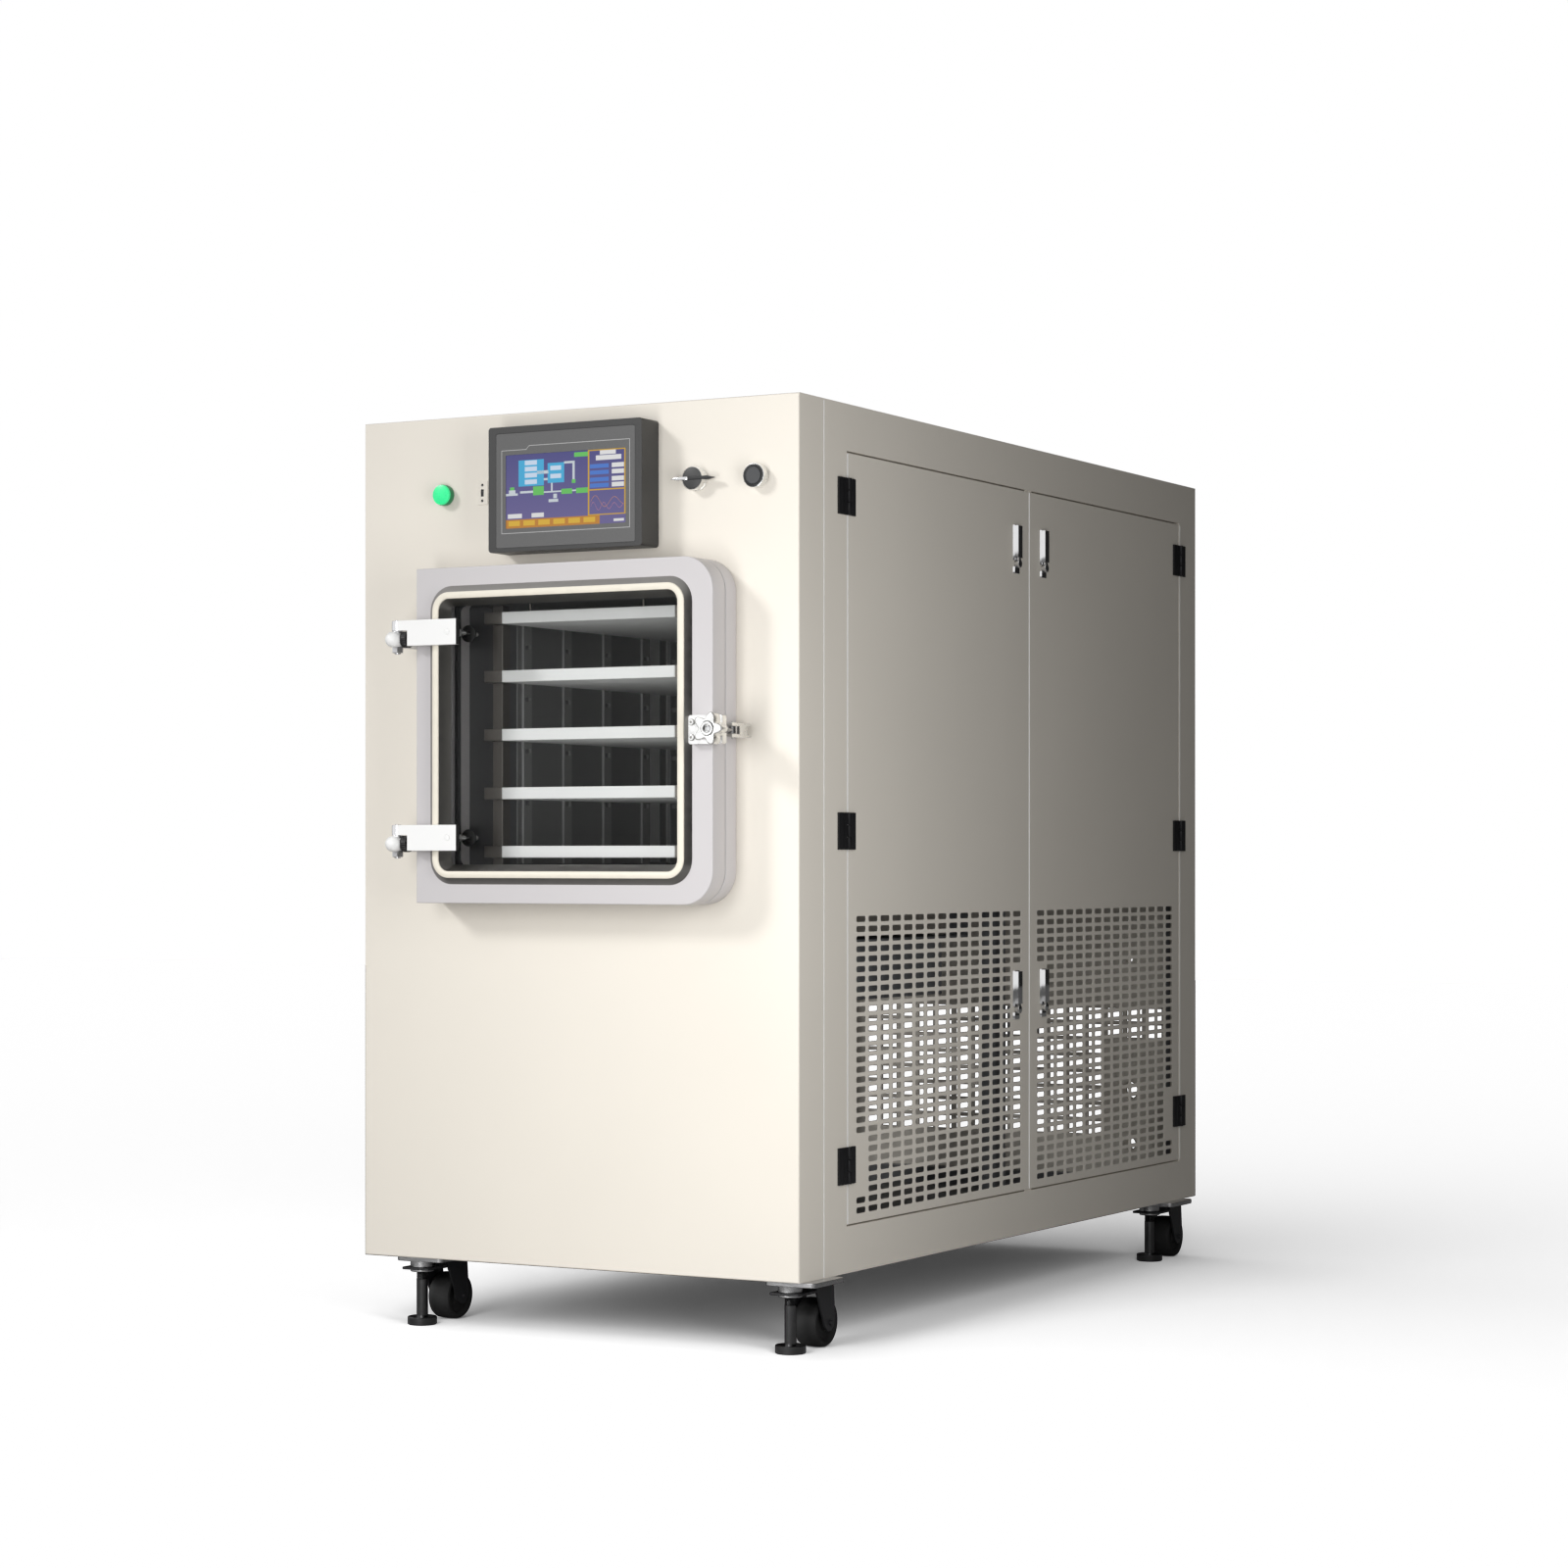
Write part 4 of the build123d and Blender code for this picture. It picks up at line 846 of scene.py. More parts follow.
class FREEZEDRYER_OT_chamber_door(bpy.types.Operator):
    """Door frame, gasket, raised window bezel, seal and pane"""

    bl_idname = "freeze_dryer.chamber_door"
    bl_label = "Chamber door"

    def execute(self, context):
        low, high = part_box("door_frame")
        pane_low, pane_high, centre = centred_box("window_pane")
        gap = Vector((0.3 * MM, 0, 0.3 * MM))
        opening = box_outline(pane_low - gap, pane_high + gap, 11.3 * MM, 8)
        leaf = plate("door_frame_leaf", [door_outline(low, high), opening], "front", low.y, high.y,
                     sizes().plate_edge)
        settle(leaf, "chamber_door", "lilac_satin_paint", "door_frame")
        dress("door_gasket", "gasket_rubber", 0.3 * MM)
        dress("window_pane", "clear_pane", 0.8 * MM)
        self.bezel(centre, low.y)
        self.seal(centre)
        return {"FINISHED"}

    def bezel(self, centre, door_face):
        """Ring with a bevel outside, a flat crest under the seal and a deep bevel inside."""
        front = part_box("window_bezel")[0].y
        foot, crest = extent("window_bezel"), extent("window_seal")
        inner, throat, skirt = inset(foot, 39.7, 39.6), inset(foot, 60.3, 59.6), inset(foot, 40.7, 41)
        back, door = foot.y, (door_face - front) / MM
        soft = 0.6
        stations = [(*inset(size, less, less), corner, depth) for size, less, corner, depth in (
            (foot, 0, 38, door), (foot, soft, 38, door - soft), (crest, -soft, 28.8, soft),
            (crest, soft, 28.2, 0), (inner, -soft, 18.3, 0), (inner, soft, 17.7, soft),
            (throat, -soft, 8.3, back - soft), (throat, 0, 8, back), (skirt, 0, 11, back),
            (skirt, 0, 11, door))]
        ring = window_ring("window_bezel_ring", stations, centre, front)
        settle(ring, "chamber_door", "bezel_steel", "window_bezel")

    def seal(self, centre):
        """Cream bead with a softly domed face."""
        outer = extent("window_seal")
        across, down = 21.4, 20.4
        stations = [(*inset(outer, 0, 0), 28.5, 0)]
        steps = 7
        for i in range(steps + 1):
            t = i / steps
            share = 0.03 + 0.94 * t
            depth = -outer.y * (0.62 + 0.38 * math.sin(math.pi * t))
            stations.append((*inset(outer, across * share, down * share), 28.5 - 10.5 * t, depth))
        stations.append((*inset(outer, across, down), 18, 0))
        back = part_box("window_seal")[1].y
        ring = window_ring("window_seal_bead", stations, centre, back, 50)
        settle(ring, "chamber_door", "cream_seal", "window_seal")


class FREEZEDRYER_OT_door_hardware(bpy.types.Operator):
    """Hinge straps with studs, the posts they turn on, and the star-knob clamp"""

    bl_idname = "freeze_dryer.door_hardware"
    bl_label = "Door hardware"

    def execute(self, context):
        for name in ("upper", "lower"):
            self.strap(name)
        for name in ("upper", "lower"):
            self.post(name)
        self.clamp()
        return {"FINISHED"}

    def strap(self, name):
        """Flat bar whose right end face is painted dark as painted shade, its raised eye, and the stud
        through it.
        """
        node = "hinge_strap_" + name
        low, high, middle = centred_box(node)
        axis = joint_at("chamber_door")
        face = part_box("strap_bolts")[0].y + 6 * MM
        start, joint = axis.x + 25 * MM, axis.x + 7.6 * MM
        stud = Vector((high.x - 16.3 * MM, 0, middle.z))
        upper = middle.z + 4 * MM
        shape = [(start, low.z), (high.x, low.z), (high.x, high.z), (joint, high.z),
                 (joint, upper), (start, upper)]
        bar = plate(node + "_bar", [shape, circle(stud.x, stud.z, 4.5, 28)], "front", face,
                    face + 10 * MM, 0.8 * MM)
        sleeve = turned(node + "_eye", eye(5.35, 9, (high.z - upper) / MM, 0.8), "z", axis, upper, 40)
        settle(bar, "chamber_door", "white_satin_paint", node)
        # The end face turned to the right is painted in dark rubber as painted shade.
        recolour(bar, "gasket_rubber",
                 lambda side: side.normal.x > 0.9 and side.center.x > high.x - 1 * MM)
        settle(sleeve, "chamber_door", "bright_chrome")
        self.stud(name, stud, face)

    def stud(self, name, at, face):
        """Threaded stud with its white cap, the sleeve and nut on it and a rubber washer."""
        front, rear = (corner.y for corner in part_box("window_pane"))
        settle(rod("strap_cap_" + name, 4.4, -0.3, 2, 0.2, "y", at, face, 32), "chamber_door",
               "white_satin_paint")
        end = (rear - face) / MM + 23
        turns = 30
        screw = [(0, 2)] + thread(2, end - 2, turns, 4, 3.5, 1 / turns) + [(3.2, end), (0, end)]
        steel = [rod("sleeve", 6, 10, (front - face) / MM, 0.3, "y", at, face, 32),
                 rod("nut", 7, 3, 11, 0.8, "y", at, rear, 6, 20),
                 turned("thread", screw, "y", at, face, 20, 60)]
        settle(joined("strap_stud_" + name, steel), "chamber_door", "satin_steel", "strap_bolts")
        settle(rod("strap_washer_" + name, 13, 0, 3, 0.6, "y", at, rear, 40), "chamber_door",
               "black_rubber")

    def post(self, name):
        """Round-ended post, its steel ball end painted white as a painted highlight, with the pin, nut
        and collar that carry a strap.
        """
        body = body_of("door_hinge_posts")
        axis = joint_at("chamber_door")
        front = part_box("door_hinge_posts")[0].y
        _, high, middle = centred_box("hinge_strap_" + name)
        at = Vector((axis.x, axis.y, middle.z - 9 * MM))
        panel = (cabinet()[0].y - front) / MM
        ball = [(12 * math.sin(math.pi * i / 24), -12 * math.cos(math.pi * i / 24))
                for i in range(13)]
        # The ball end is steel; its white coat is a painted highlight.
        settle(turned("hinge_ball_" + name, ball + [(12, panel), (0, panel)], "y", at, front, 56),
               body, "white_satin_paint")
        top = (high.z - at.z) / MM
        pin = [(0, -22), (4.4, -22), (5, -21.4), (5, top + 0.2), (4.2, top + 0.9), (0, top + 1)]
        steel = [turned("pin", pin, "z", at, at.z, 32),
                 rod("nut", 9, -20, -11, 0.8, "z", at, at.z, 6, 20),
                 rod("collar", 9, 8, 12.65, 0.4, "z", at, at.z, 40)]
        settle(joined("hinge_post_" + name, steel), body, "satin_steel", "door_hinge_posts")
        loop = lobed(at.y, at.z, 88, lambda i: 12.5 if i % 4 in (1, 2) else 11.6)
        knurl = plate("grip_nut_" + name, [loop], "side", at.x + 11 * MM, at.x + 21.5 * MM, 0.5 * MM)
        settle(knurl, body, "black_plastic")

    def clamp(self):
        """Ear on the door with its screws, the clevis, the swing bolt and its star knob."""
        dress("clamp_ear", "satin_chrome", 0.9 * MM, 3)
        dress("clamp_clevis", "satin_chrome", 0.8 * MM, 3)
        low, _, middle = centred_box("clamp_ear")
        # Dark hexagons on the screw heads are painted shade of their hex recesses, and a dark ring
        # round each head is painted contact shade.
        hexagon = [(0, -0.1), (2.2, -0.1), (2.2, 0.2), (0, 0.2)]
        rim = [(4.1, 1.8), (4.9, 1.8), (4.9, 3.2), (4.1, 3.2), (4.1, 1.8)]
        recess_shades = []
        for side in (-1, 1):
            at = (low.x + 6 * MM, 0, middle.z + side * 11 * MM)
            recess_shades += [turned("socket", hexagon, "y", at, low.y, 6),
                        turned("rim", rim, "y", at, low.y, 28)]
        settle(joined("clamp_ear_screw_shades", recess_shades), body_of("clamp_ear"), "bezel_steel")
        pivot = joint_at("swing_bolt")
        low, _, middle = centred_box("swing_bolt")
        at = Vector((pivot.x, pivot.y, middle.z))
        sleeve = turned("eye", eye(2.85, 7, extent("swing_bolt").z, 0.6), "z", at, low.z, 36)
        reach = (pivot.y - low.y) / MM - 5
        screw = [(0, 0), (3.2, 0)] + thread(0, reach, 36, 3.5, 4) + [(4, reach + 1), (0, reach + 1)]
        bolt = turned("rod", screw, "y", at, low.y, 20, 60)
        settle(joined("swing_bolt_rod", [sleeve, bolt]), "swing_bolt", "satin_steel", "swing_bolt")
        self.knob(at)

    def knob(self, at):
        """Star knob: scalloped head round a bored core that runs back into the hub, with a painted
        shadow line round the head.
        """
        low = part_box("star_knob")[0]
        steps, lobes = 100, 5
        head, wider = (lobed(at.x, at.z, steps, lambda i: scale * (
            18.7 + 4.7 * math.cos(lobes * 2 * math.pi * i / steps))) for scale in (1, 1.055))
        hole = circle(at.x, at.z, 10.7, 40)
        star = plate("head", [head, hole], "front", low.y + 1 * MM, low.y + 21 * MM, 0.9 * MM)
        # A dark star just wider than the head paints the shadow line round its outline.
        painted_shadow_ring = plate("star_knob_painted_shadow", [wider, hole], "front", low.y + 2.2 * MM, low.y + 3.2 * MM)
        settle(painted_shadow_ring, "star_knob", "bezel_steel")
        end = extent("star_knob").y
        profile = [(4.4, end), (10.2, end), (11, end - 0.8), (11, 20.5), (10, 20.5), (10, 0.8),
                   (9.4, 0), (6.8, 0), (6, 0.8), (6, 7), (4.4, 7), (4.4, end)]
        core = turned("core", profile, "y", at, low.y, 48)
        settle(joined("star_knob_grip", [star, core]), "star_knob", "satin_chrome", "star_knob")


# Controls ----------------------------------------------------------------------------------

LEVELS = (0.75, 0.665, 0.57, 0.49)
# Fields of the display: name, colour, layer, and rectangles (from x, to x, from z, to z) in
# shares of the display; a colour at the end is the one that the field fades to upwards
PICTURE = (
    ("ground", (0.16, 0.13, 0.32), 0, [(0.0, 1.0, 0.0, 1.0)], (0.035, 0.04, 0.22)),
    ("cyan", (0.04, 0.42, 0.72), 1, [(0.107, 0.32, 0.565, 0.92), (0.352, 0.49, 0.59, 0.86)]),
    ("bars", (0.62, 0.74, 0.9), 2,
     [(0.16, 0.262, z, z + 0.062) for z in (0.85, 0.765, 0.68, 0.59)]
     + [(0.375, 0.465, z, z + 0.06) for z in (0.76, 0.65)]),
    ("pipes", (0.62, 0.68, 0.72), 1,
     [(0.262, 0.36, 0.72, 0.765), (0.49, 0.575, 0.84, 0.87), (0.56, 0.578, 0.62, 0.87),
      (0.32, 0.352, 0.63, 0.66), (0.12, 0.235, 0.47, 0.50), (0.32, 0.47, 0.46, 0.48),
      (0.557, 0.59, 0.46, 0.48), (0.38, 0.394, 0.48, 0.59), (0.40, 0.43, 0.38, 0.44),
      (0.0, 0.10, 0.445, 0.475), (0.025, 0.08, 0.475, 0.52), (0.36, 0.44, 0.33, 0.37)]),
    ("green", (0.12, 0.55, 0.1), 2,
     [(0.23, 0.32, 0.435, 0.555), (0.467, 0.557, 0.43, 0.50), (0.59, 0.688, 0.43, 0.50),
      (0.574, 0.688, 0.92, 0.98), (0.035, 0.07, 0.52, 0.56), (0.555, 0.585, 0.57, 0.62)]),
    ("white", (0.8, 0.8, 0.8), 1,
     [(0.016, 0.135, 0.135, 0.195), (0.217, 0.32, 0.135, 0.195), (0.787, 0.918, 0.93, 0.985),
      (0.754, 0.963, 0.855, 0.92), (0.9, 0.985, 0.025, 0.06)]
     + [(0.885, 0.985, z, z + 0.06) for z in LEVELS]),
    ("blue", (0.05, 0.18, 0.62), 1, [(0.705, 0.86, z, z + 0.055) for z in LEVELS]),
    ("orange", (0.55, 0.22, 0.01), 1, [(0.0, 0.785, 0.0, 0.118)]),
    ("keys", (0.75, 0.45, 0.02), 2,
     [(0.022 + 0.126 * i, 0.118 + 0.126 * i, 0.03, 0.1) for i in range(6)]),
    ("rails", (0.62, 0.36, 0.02), 2,
     [(0.688, 0.7, 0.118, 1.0), (0.7, 1.0, 0.452, 0.47), (0.988, 1.0, 0.118, 1.0),
      (0.7, 0.988, 0.985, 1.0), (0.7, 0.988, 0.118, 0.133)]),
)
LOOKS.update({"lit_" + name: ("screen_glass", lit_field, rgb, *top)
              for name, rgb, _, _, *top in PICTURE})
LOOKS["lit_trend_warm"] = ("screen_glass", lit_field, (0.75, 0.3, 0.05))
LOOKS["lit_trend_pink"] = ("screen_glass", lit_field, (0.65, 0.25, 0.3))


class FREEZEDRYER_OT_touch_panel(bpy.types.Operator):
    """Touch panel: housing, printed film and a lit process display"""

    bl_idname = "freeze_dryer.touch_panel"
    bl_label = "Touch panel"

    def execute(self, context):
        dress("touch_panel_housing", "housing_plastic", 1.0 * MM, 3)
        low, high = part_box("touch_panel_screen")
        base = cabinet()[0]
        self.low = Vector((base.x + 294 * MM, low.y, base.z + 1110 * MM))
        self.high = Vector((base.x + 505 * MM, high.y, base.z + 1220 * MM))
        self.glass = low.y + 0.9 * MM
        film = [box_outline(low, high, 3 * MM), box_outline(self.low, self.high, 1.5 * MM)]
        self.show("touch_panel_film", "plate_film", [film], low.y, high.y, 0.25 * MM,
                  "touch_panel_screen")
        self.border(low.y)
        for name, _, layer, areas, *_ in PICTURE:
            shapes = [[outline(self.spot(x0, z0), self.spot(x1, z1))] for x0, x1, z0, z1 in areas]
            self.show("display_" + name, "lit_" + name, shapes, self.glass - layer * 0.1 * MM,
                      self.glass + 0.6 * MM)
        self.trend("trend_warm", 0.3, 0.09, 1.7)
        self.trend("trend_pink", 0.24, 0.06, 3.1)
        return {"FINISHED"}

    def show(self, name, look, shapes, near, far, edge=0.0, *nodes):
        """One piece of the screen out of flat shapes of the same thickness."""
        items = [plate("shape", loops, "front", near, far, edge) for loops in shapes]
        settle(joined(name, items), body_of("touch_panel_screen"), look, *nodes)

    def border(self, front):
        """Thin light line round the display; it steps up beside the blank name field."""
        out, rise, thin = 7.5 * MM, 5.5 * MM, 0.7 * MM
        a, b = self.low.x - out, self.high.x + out
        c, d = self.low.z - out, self.high.z + out
        step = a + 44 * MM
        path = [(a, c), (b, c), (b, d + rise), (step + rise, d + rise), (step, d), (a, d)]
        inner = [(a + thin, c + thin), (b - thin, c + thin), (b - thin, d + rise - thin),
                 (step + rise + 0.3 * thin, d + rise - thin), (step + 0.3 * thin, d - thin),
                 (a + thin, d - thin)]
        self.show("touch_panel_line", "printed_line", [[path, inner]], front - 0.02 * MM,
                  front + 0.1 * MM)

    def spot(self, x, z):
        """Place on the display from shares of its width and height."""
        return (self.low.x + x * (self.high.x - self.low.x),
                self.low.z + z * (self.high.z - self.low.z))

    def trend(self, name, level, swing, turns):
        """Thin wavy line across the chart."""
        steps = 36
        upper = []
        for i in range(steps + 1):
            t = i / steps
            wave = math.sin(2 * math.pi * turns * t) * (1 - 0.5 * t)
            upper.append(self.spot(0.71 + 0.27 * t, level + swing * wave))
        lower = [(x, z - 0.45 * MM) for x, z in reversed(upper)]
        self.show("display_" + name, "lit_" + name, [[upper + lower]], self.glass - 0.2 * MM,
                  self.glass + 0.6 * MM)


class FREEZEDRYER_OT_controls(bpy.types.Operator):
    """Green lamp, socket, selector switch and push button"""

    bl_idname = "freeze_dryer.controls"
    bl_label = "Lamp and switches"

    def execute(self, context):
        self.front = cabinet()[0].y
        self.bezels = body_of("switch_bezels")
        self.lamp()
        self.socket()
        self.selector()
        self.button()
        return {"FINISHED"}

    def turn(self, name, profile, at, body, look, *nodes, slot=None, steps=64):
        """Turned piece of a control, measured from the face of the cabinet."""
        settle(turned(name, profile, "y", at, self.front, steps), body, look, *nodes, slot=slot)

    def lamp(self):
        low, high, at = centred_box("power_lamp")
        body = body_of("power_lamp")
        radius = extent("power_lamp").x / 2
        tip, back = (low.y - self.front) / MM, (high.y - self.front) / MM
        side = stepped([(radius, -10, -0.02), (10.5, 0, back)], 0.6)
        self.turn("power_lamp_body", side, at, body, "lamp_side", "power_lamp", steps=56)
        dome = [(0, tip), (radius - 3, tip + 0.1), (radius - 1.2, tip + 0.7),
                (radius - 0.6, tip + 2), (radius - 0.6, -9.9), (0, -9.9)]
        self.turn("power_lamp_lens", dome, at, body, "lamp_lens", steps=56)

    def selector(self):
        """Dark disc in a bright skirt, turned by a pointed lever with one half bright."""
        low, _, at = centred_box("selector_knob")
        collar = [(5.4, -4.5), (16.5, -4.5), (17.2, -4.2), (17.5, -3.5), (17.5, -0.02),
                  (10.5, -0.02), (10.5, 45), (5.4, 45), (5.4, -4.5)]
        self.turn("selector_ring", collar, at, self.bezels, "satin_chrome", "switch_bezels",
                  slot="chrome")
        disc = [(0, -17.5), (14.4, -17.5), (15.4, -17.2), (15.8, -16.4), (15.8, -15.5), (0, -15.5)]
        self.turn("selector_disc", disc, at, "selector", "housing_plastic", "selector_knob")
        skirt = [(15.9, -16.6), (16.3, -17), (16.8, -16.6), (17, -15.9), (17, -4.85), (5, -4.85),
                 (5, 26), (0, 26), (0, -15.4), (15.9, -15.4), (15.9, -16.6)]
        self.turn("selector_skirt", skirt, at, "selector", "satin_chrome", slot="chrome")
        half, tip, tall = extent("selector_knob").x / 2, 11, 2.5
        for name, way, look in (("left", -1, "bright_chrome"), ("right", 1, "black_plastic")):
            shape = [(-7, -tall), (way * (half - tip), -tall), (way * half, 0),
                     (way * (half - tip), tall), (-7, tall)]
            lever = plate("selector_lever_" + name, [around(at.x, at.z, shape)], "front", low.y,
                          low.y + 9.5 * MM, 0.9 * MM)
            settle(lever, "selector", look)

    def button(self):
        """Grey cap with a fine rim in a black collar with a bright skirt."""
        low, high, at = centred_box("push_button_cap")
        skirt = [(16.6, -15), (17.5, -14.5), (17.5, -0.02), (10.5, -0.02), (10.5, 45), (5.4, 45),
                 (5.4, -1), (14.85, -1), (14.85, -15), (16.6, -15)]
        self.turn("push_button_skirt", skirt, at, self.bezels, "satin_chrome", slot="chrome")
        collar = [(13.35, -1), (13.35, -15.5), (13.85, -16), (15.7, -16), (16.5, -15.6),
                  (16.7, -15.05), (14.75, -15.05), (14.75, -1), (13.35, -1)]
        self.turn("push_button_collar", collar, at, self.bezels, "black_plastic")
        tip, back = (low.y - self.front) / MM, (high.y - self.front) / MM
        cap = [(0, tip + 0.5), (11, tip + 0.4), (11.5, tip), (12.3, tip), (13, tip + 0.8),
               (13, -5.6), (5, -5.6), (5, back), (0, back)]
        self.turn("push_button_disc", cap, at, "push_button", "button_disc", "push_button_cap")

    def socket(self):
        """Small connector plate with two pin holes and a slot."""
        at = cabinet()[0] + Vector((220 * MM, 0, 1172 * MM))
        loops = [self.rectangle(at, 10, 18, 1.5)]
        loops += [circle(at.x, at.z + way * 12 * MM, 2.1, 20) for way in (-1, 1)]
        loops.append(self.rectangle(at, 2.6, 5.5, 0.8))
        cover = plate("socket_cover", loops, "front", self.front - 1 * MM, self.front - 0.02 * MM,
                      0.2 * MM)
        settle(cover, self.bezels, "cream_powder_coat")
        back = block("socket_body", (at.x - 6.5 * MM, self.front, at.z - 14.5 * MM),
                     (at.x + 6.5 * MM, self.front + 12 * MM, at.z + 14.5 * MM), 0.4 * MM)
        settle(back, self.bezels, "black_plastic")

    def rectangle(self, at, wide, tall, corner):
        half = Vector((wide, 0, tall)) * MM
        return box_outline(at - half, at + half, corner * MM)


# Casters and machinery ---------------------------------------------------------------------

class FREEZEDRYER_OT_casters(bpy.types.Operator):
    """Swivel casters with levelling feet"""

    bl_idname = "freeze_dryer.casters"
    bl_label = "Casters"

    def execute(self, context):
        dress("caster_plates", "satin_steel", 0.8 * MM)
        for corner in ("front_left", "front_right", "rear_left", "rear_right"):
            dress("caster_fork_" + corner, "black_machine_paint", 1.2 * MM, 3)
            self.wheel("caster_wheel_" + corner)
            self.foot("caster_foot_" + corner)
        return {"FINISHED"}

    def wheel(self, node):
        """Tyre with a crowned tread and a dished centre."""
        at = centred_box(node)[2]
        width, _, tall = extent(node)
        scale, half = tall / 2 / 36, width / 2
        section = ((4.35, 1.0), (12, 1.0), (13, 0.78), (24, 0.7), (26, 0.86), (30, 1.0),
                   (33.5, 0.96), (35.2, 0.82), (35.85, 0.5), (36, 0.0))
        side = [(radius * scale, share * half) for radius, share in section]
        profile = [(r, -w) for r, w in side] + list(reversed(side)) + [(side[0][0], -side[0][1])]
        settle(turned(node + "_tyre", profile, "x", at, at.x, 72), node, "black_rubber", node)

    def foot(self, node):
        """Drum-shaped pad under a smooth stem whose upper end is threaded."""
        low, _, at = centred_box(node)
        width, _, top = extent(node)
        radius = width / 2
        drum = [(0, 0), (radius - 1.5, 0), (radius, 1.2), (radius, 11.2), (radius - 0.8, 12), (0, 12)]
        settle(turned(node + "_pad", drum, "z", at, low.z, 56), node, "gloss_black_paint", node,
               slot="black_rubber")
        screw = [(0, 11), (8.5, 11), (8.5, 70)] + thread(70, top - 72, 12, 7.7, 8.5)
        screw += [(8.5, top - 1), (7.5, top), (0, top)]
        settle(turned(node + "_stem", screw, "z", at, low.z, 40, 60), node, "gloss_black_paint")


class FREEZEDRYER_OT_machinery(bpy.types.Operator):
    """Cold trap, compressor, vacuum pump, air condenser, fan and electrical box"""

    bl_idname = "freeze_dryer.machinery"
    bl_label = "Machinery"

    def execute(self, context):
        for node, look, edge in (("cold_trap", "satin_steel", 1.5),
                                 ("compressor", "black_machine_paint", 1.5),
                                 ("vacuum_pump", "grey_frame_paint", 2.0),
                                 ("air_condenser", "grey_frame_paint", 1.0),
                                 ("condenser_fan", "black_plastic", 0.8),
                                 ("electrical_box", "grey_frame_paint", 1.0)):
            dress(node, look, edge * MM)
        self.fins()
        return {"FINISHED"}

    def fins(self):
        """Aluminium fins and copper pipes of the condenser, on the face turned to the left side."""
        low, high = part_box("air_condenser")
        body = body_of("air_condenser")
        depth = 9 * MM
        fins, pipes = [], []
        count, rows = 56, 7
        for i in range(count):
            y = low.y + 16 * MM + (high.y - low.y - 32 * MM) * i / (count - 1)
            fins.append(block("fin", (low.x - depth, y - 0.5 * MM, low.z + 50 * MM),
                              (low.x, y + 0.5 * MM, high.z - 14 * MM)))
        settle(joined("condenser_fins", fins), body, "raw_aluminium")
        end = extent("air_condenser").y - 8
        for i in range(rows):
            at = (low.x - depth / 2, 0, low.z + 60 * MM + (high.z - low.z - 84 * MM) * i / (rows - 1))
            pipes.append(rod("pipe", 3.5, 8, end, 1, "y", at, low.y, 20))
        settle(joined("condenser_pipes", pipes), body, "copper_pipe")


# Stage -------------------------------------------------------------------------------------

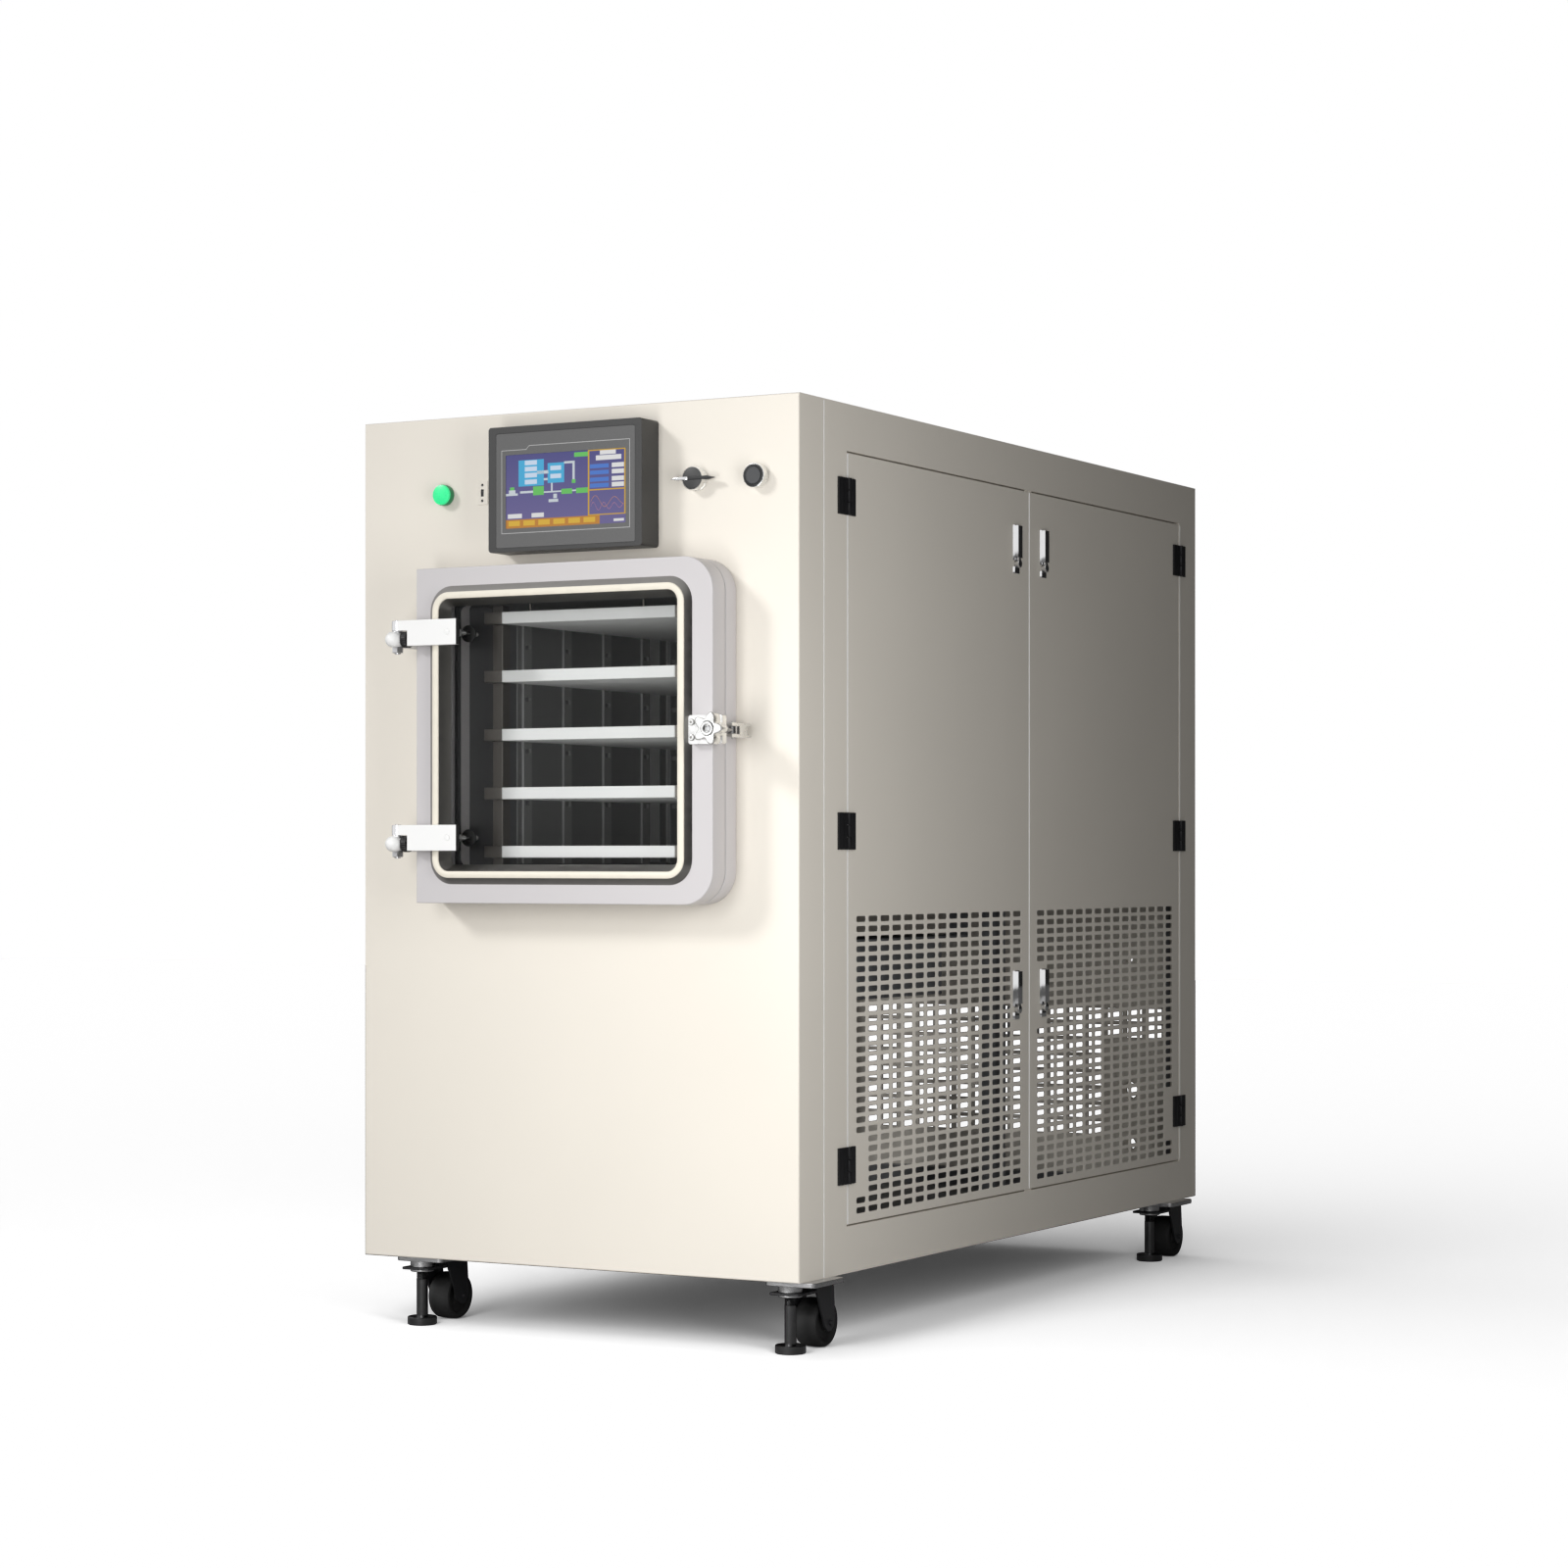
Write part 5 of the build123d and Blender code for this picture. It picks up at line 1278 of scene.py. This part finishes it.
class FREEZEDRYER_OT_stage(bpy.types.Operator):
    """Pale floor, soft studio lights and the camera"""

    bl_idname = "freeze_dryer.stage"
    bl_label = "Stage"

    def execute(self, context):
        low, high = cabinet()
        self.corner = Vector((high.x, low.y, low.z))
        floor = self.floor()
        self.world()
        key = self.lamp("key_light", "SUN", Vector((-0.62, -0.70, 0.52)) * 4, (0, 0, 0), 1.15,
                        angle=math.radians(12))
        front = self.softbox("front_light", (-0.28, -1.7, 0.72), (-0.1, 0.0, 0.6), 13.5, 0.5, 1.2)
        side = self.softbox("side_light", (1.2, -0.8, 0.75), (0.0, 0.2, 0.65), 15.5, 0.6, 1.4)
        self.spare(key, floor)
        side.visible_glossy = False
        self.camera()
        context.scene.view_settings.view_transform = "Standard"
        return {"FINISHED"}

    def floor(self):
        """Wide plane that takes the soft shadow and is otherwise as white as the surround."""
        mesh = bmesh.new()
        mesh.faces.new([mesh.verts.new((*point, 0)) for point in outline((-14, -14), (14, 14))])
        item = from_bmesh("floor", mesh)
        item.data.materials.append(finish("studio_floor"))
        item.is_shadow_catcher = True
        return item

    def added(self, name, data, place):
        """Object for a lamp or the camera, placed from the cabinet's front right corner."""
        item = bpy.data.objects.new(name, data)
        bpy.context.scene.collection.objects.link(item)
        item.location = self.corner + Vector(place)
        return item

    def lamp(self, name, kind, place, aim, power, **settings):
        data = bpy.data.lights.new(name, kind)
        data.energy = power
        for key, value in settings.items():
            setattr(data, key, value)
        item = self.added(name, data, place)
        way = self.corner + Vector(aim) - item.location
        item.rotation_euler = way.to_track_quat("-Z", "Y").to_euler()
        return item

    def softbox(self, name, place, aim, power, wide, tall):
        return self.lamp(name, "AREA", place, aim, power, shape="RECTANGLE", size=wide, size_y=tall)

    def spare(self, lamp, floor):
        """Keeps a lamp off the floor, which then shows only the soft shadow of the others."""
        group = bpy.data.collections.new("unlit_by_" + lamp.name)
        group.objects.link(floor)
        group.collection_objects[0].light_linking.link_state = "EXCLUDE"
        lamp.light_linking.receiver_collection = group

    def world(self):
        """White to the camera; its light fades to the right and rear, more steeply in mirrors."""
        world = bpy.data.worlds.new("studio")
        nodes = Tree(world)
        path, place = nodes.add("LightPath"), nodes.add("TexCoord").outputs["Generated"]
        shown, lit = nodes.add("Background", [("Color", (1, 1, 1, 1))]), nodes.add("Background")
        mix, choice = nodes.add("MixShader"), nodes.add("Mix")
        for socket, way, start, end, low, high in (
                ("A", (-0.62, -0.74, 0.26), -0.3, 0.9, 0.03, 0.45),
                ("B", (-0.5, -0.82, 0.28), -0.1, 0.6, 0.02, 1.15)):
            facing = nodes.add("VectorMath", [(1, way)], operation="DOT_PRODUCT")
            ramp = nodes.add("MapRange", [("From Min", start), ("From Max", end), ("To Min", low),
                                          ("To Max", high)], interpolation_type="SMOOTHSTEP")
            nodes.link(place, facing.inputs[0])
            nodes.link(facing.outputs["Value"], ramp.inputs["Value"])
            nodes.link(ramp.outputs["Result"], choice.inputs[socket])
        nodes.link(path.outputs["Is Glossy Ray"], choice.inputs["Factor"])
        nodes.link(choice.outputs["Result"], lit.inputs["Strength"])
        nodes.link(path.outputs["Is Camera Ray"], mix.inputs["Fac"])
        nodes.link(lit.outputs["Background"], mix.inputs[1])
        nodes.link(shown.outputs["Background"], mix.inputs[2])
        nodes.link(mix.outputs["Shader"], nodes.tree.nodes["World Output"].inputs["Surface"])
        bpy.context.scene.world = world

    def camera(self):
        data = bpy.data.cameras.new("camera")
        data.lens = sizes().camera_lens
        data.sensor_width = 36.0
        data.shift_y = 0.04705
        item = self.added("camera", data, (2.4136, -4.3898, 0.61646))
        item.rotation_euler = (math.radians(90), 0, math.radians(29.052))
        bpy.context.scene.camera = item


# Registration ------------------------------------------------------------------------------

OPERATORS = (FREEZEDRYER_OT_panels, FREEZEDRYER_OT_service_doors, FREEZEDRYER_OT_door_fittings,
             FREEZEDRYER_OT_chamber, FREEZEDRYER_OT_chamber_door, FREEZEDRYER_OT_door_hardware,
             FREEZEDRYER_OT_touch_panel, FREEZEDRYER_OT_controls, FREEZEDRYER_OT_casters,
             FREEZEDRYER_OT_machinery, FREEZEDRYER_OT_stage)


class FREEZEDRYER_PT_pieces(bpy.types.Panel):
    """Lists the operators in the order in which they are run"""

    bl_idname = "FREEZEDRYER_PT_pieces"
    bl_label = "Freeze Dryer"
    bl_space_type = "VIEW_3D"
    bl_region_type = "UI"
    bl_category = "Freeze Dryer"

    def draw(self, context):
        for operator in OPERATORS:
            self.layout.operator(operator.bl_idname)
        for settings in (colours(), sizes()):
            box = self.layout.box()
            for name in settings.__annotations__:
                box.prop(settings, name)


CLASSES = (FreezeDryerColours, FreezeDryerSizes, *OPERATORS, FREEZEDRYER_PT_pieces)


def register():
    for item in CLASSES:
        bpy.utils.register_class(item)
    bpy.types.Scene.freeze_dryer_colours = PointerProperty(type=FreezeDryerColours)
    bpy.types.Scene.freeze_dryer_sizes = PointerProperty(type=FreezeDryerSizes)


def unregister():
    del bpy.types.Scene.freeze_dryer_sizes
    del bpy.types.Scene.freeze_dryer_colours
    for item in reversed(CLASSES):
        bpy.utils.unregister_class(item)


def main():
    register()
    for operator in OPERATORS:
        group, name = operator.bl_idname.split(".")
        getattr(getattr(bpy.ops, group), name)()


if __name__ == "__main__":
    main()
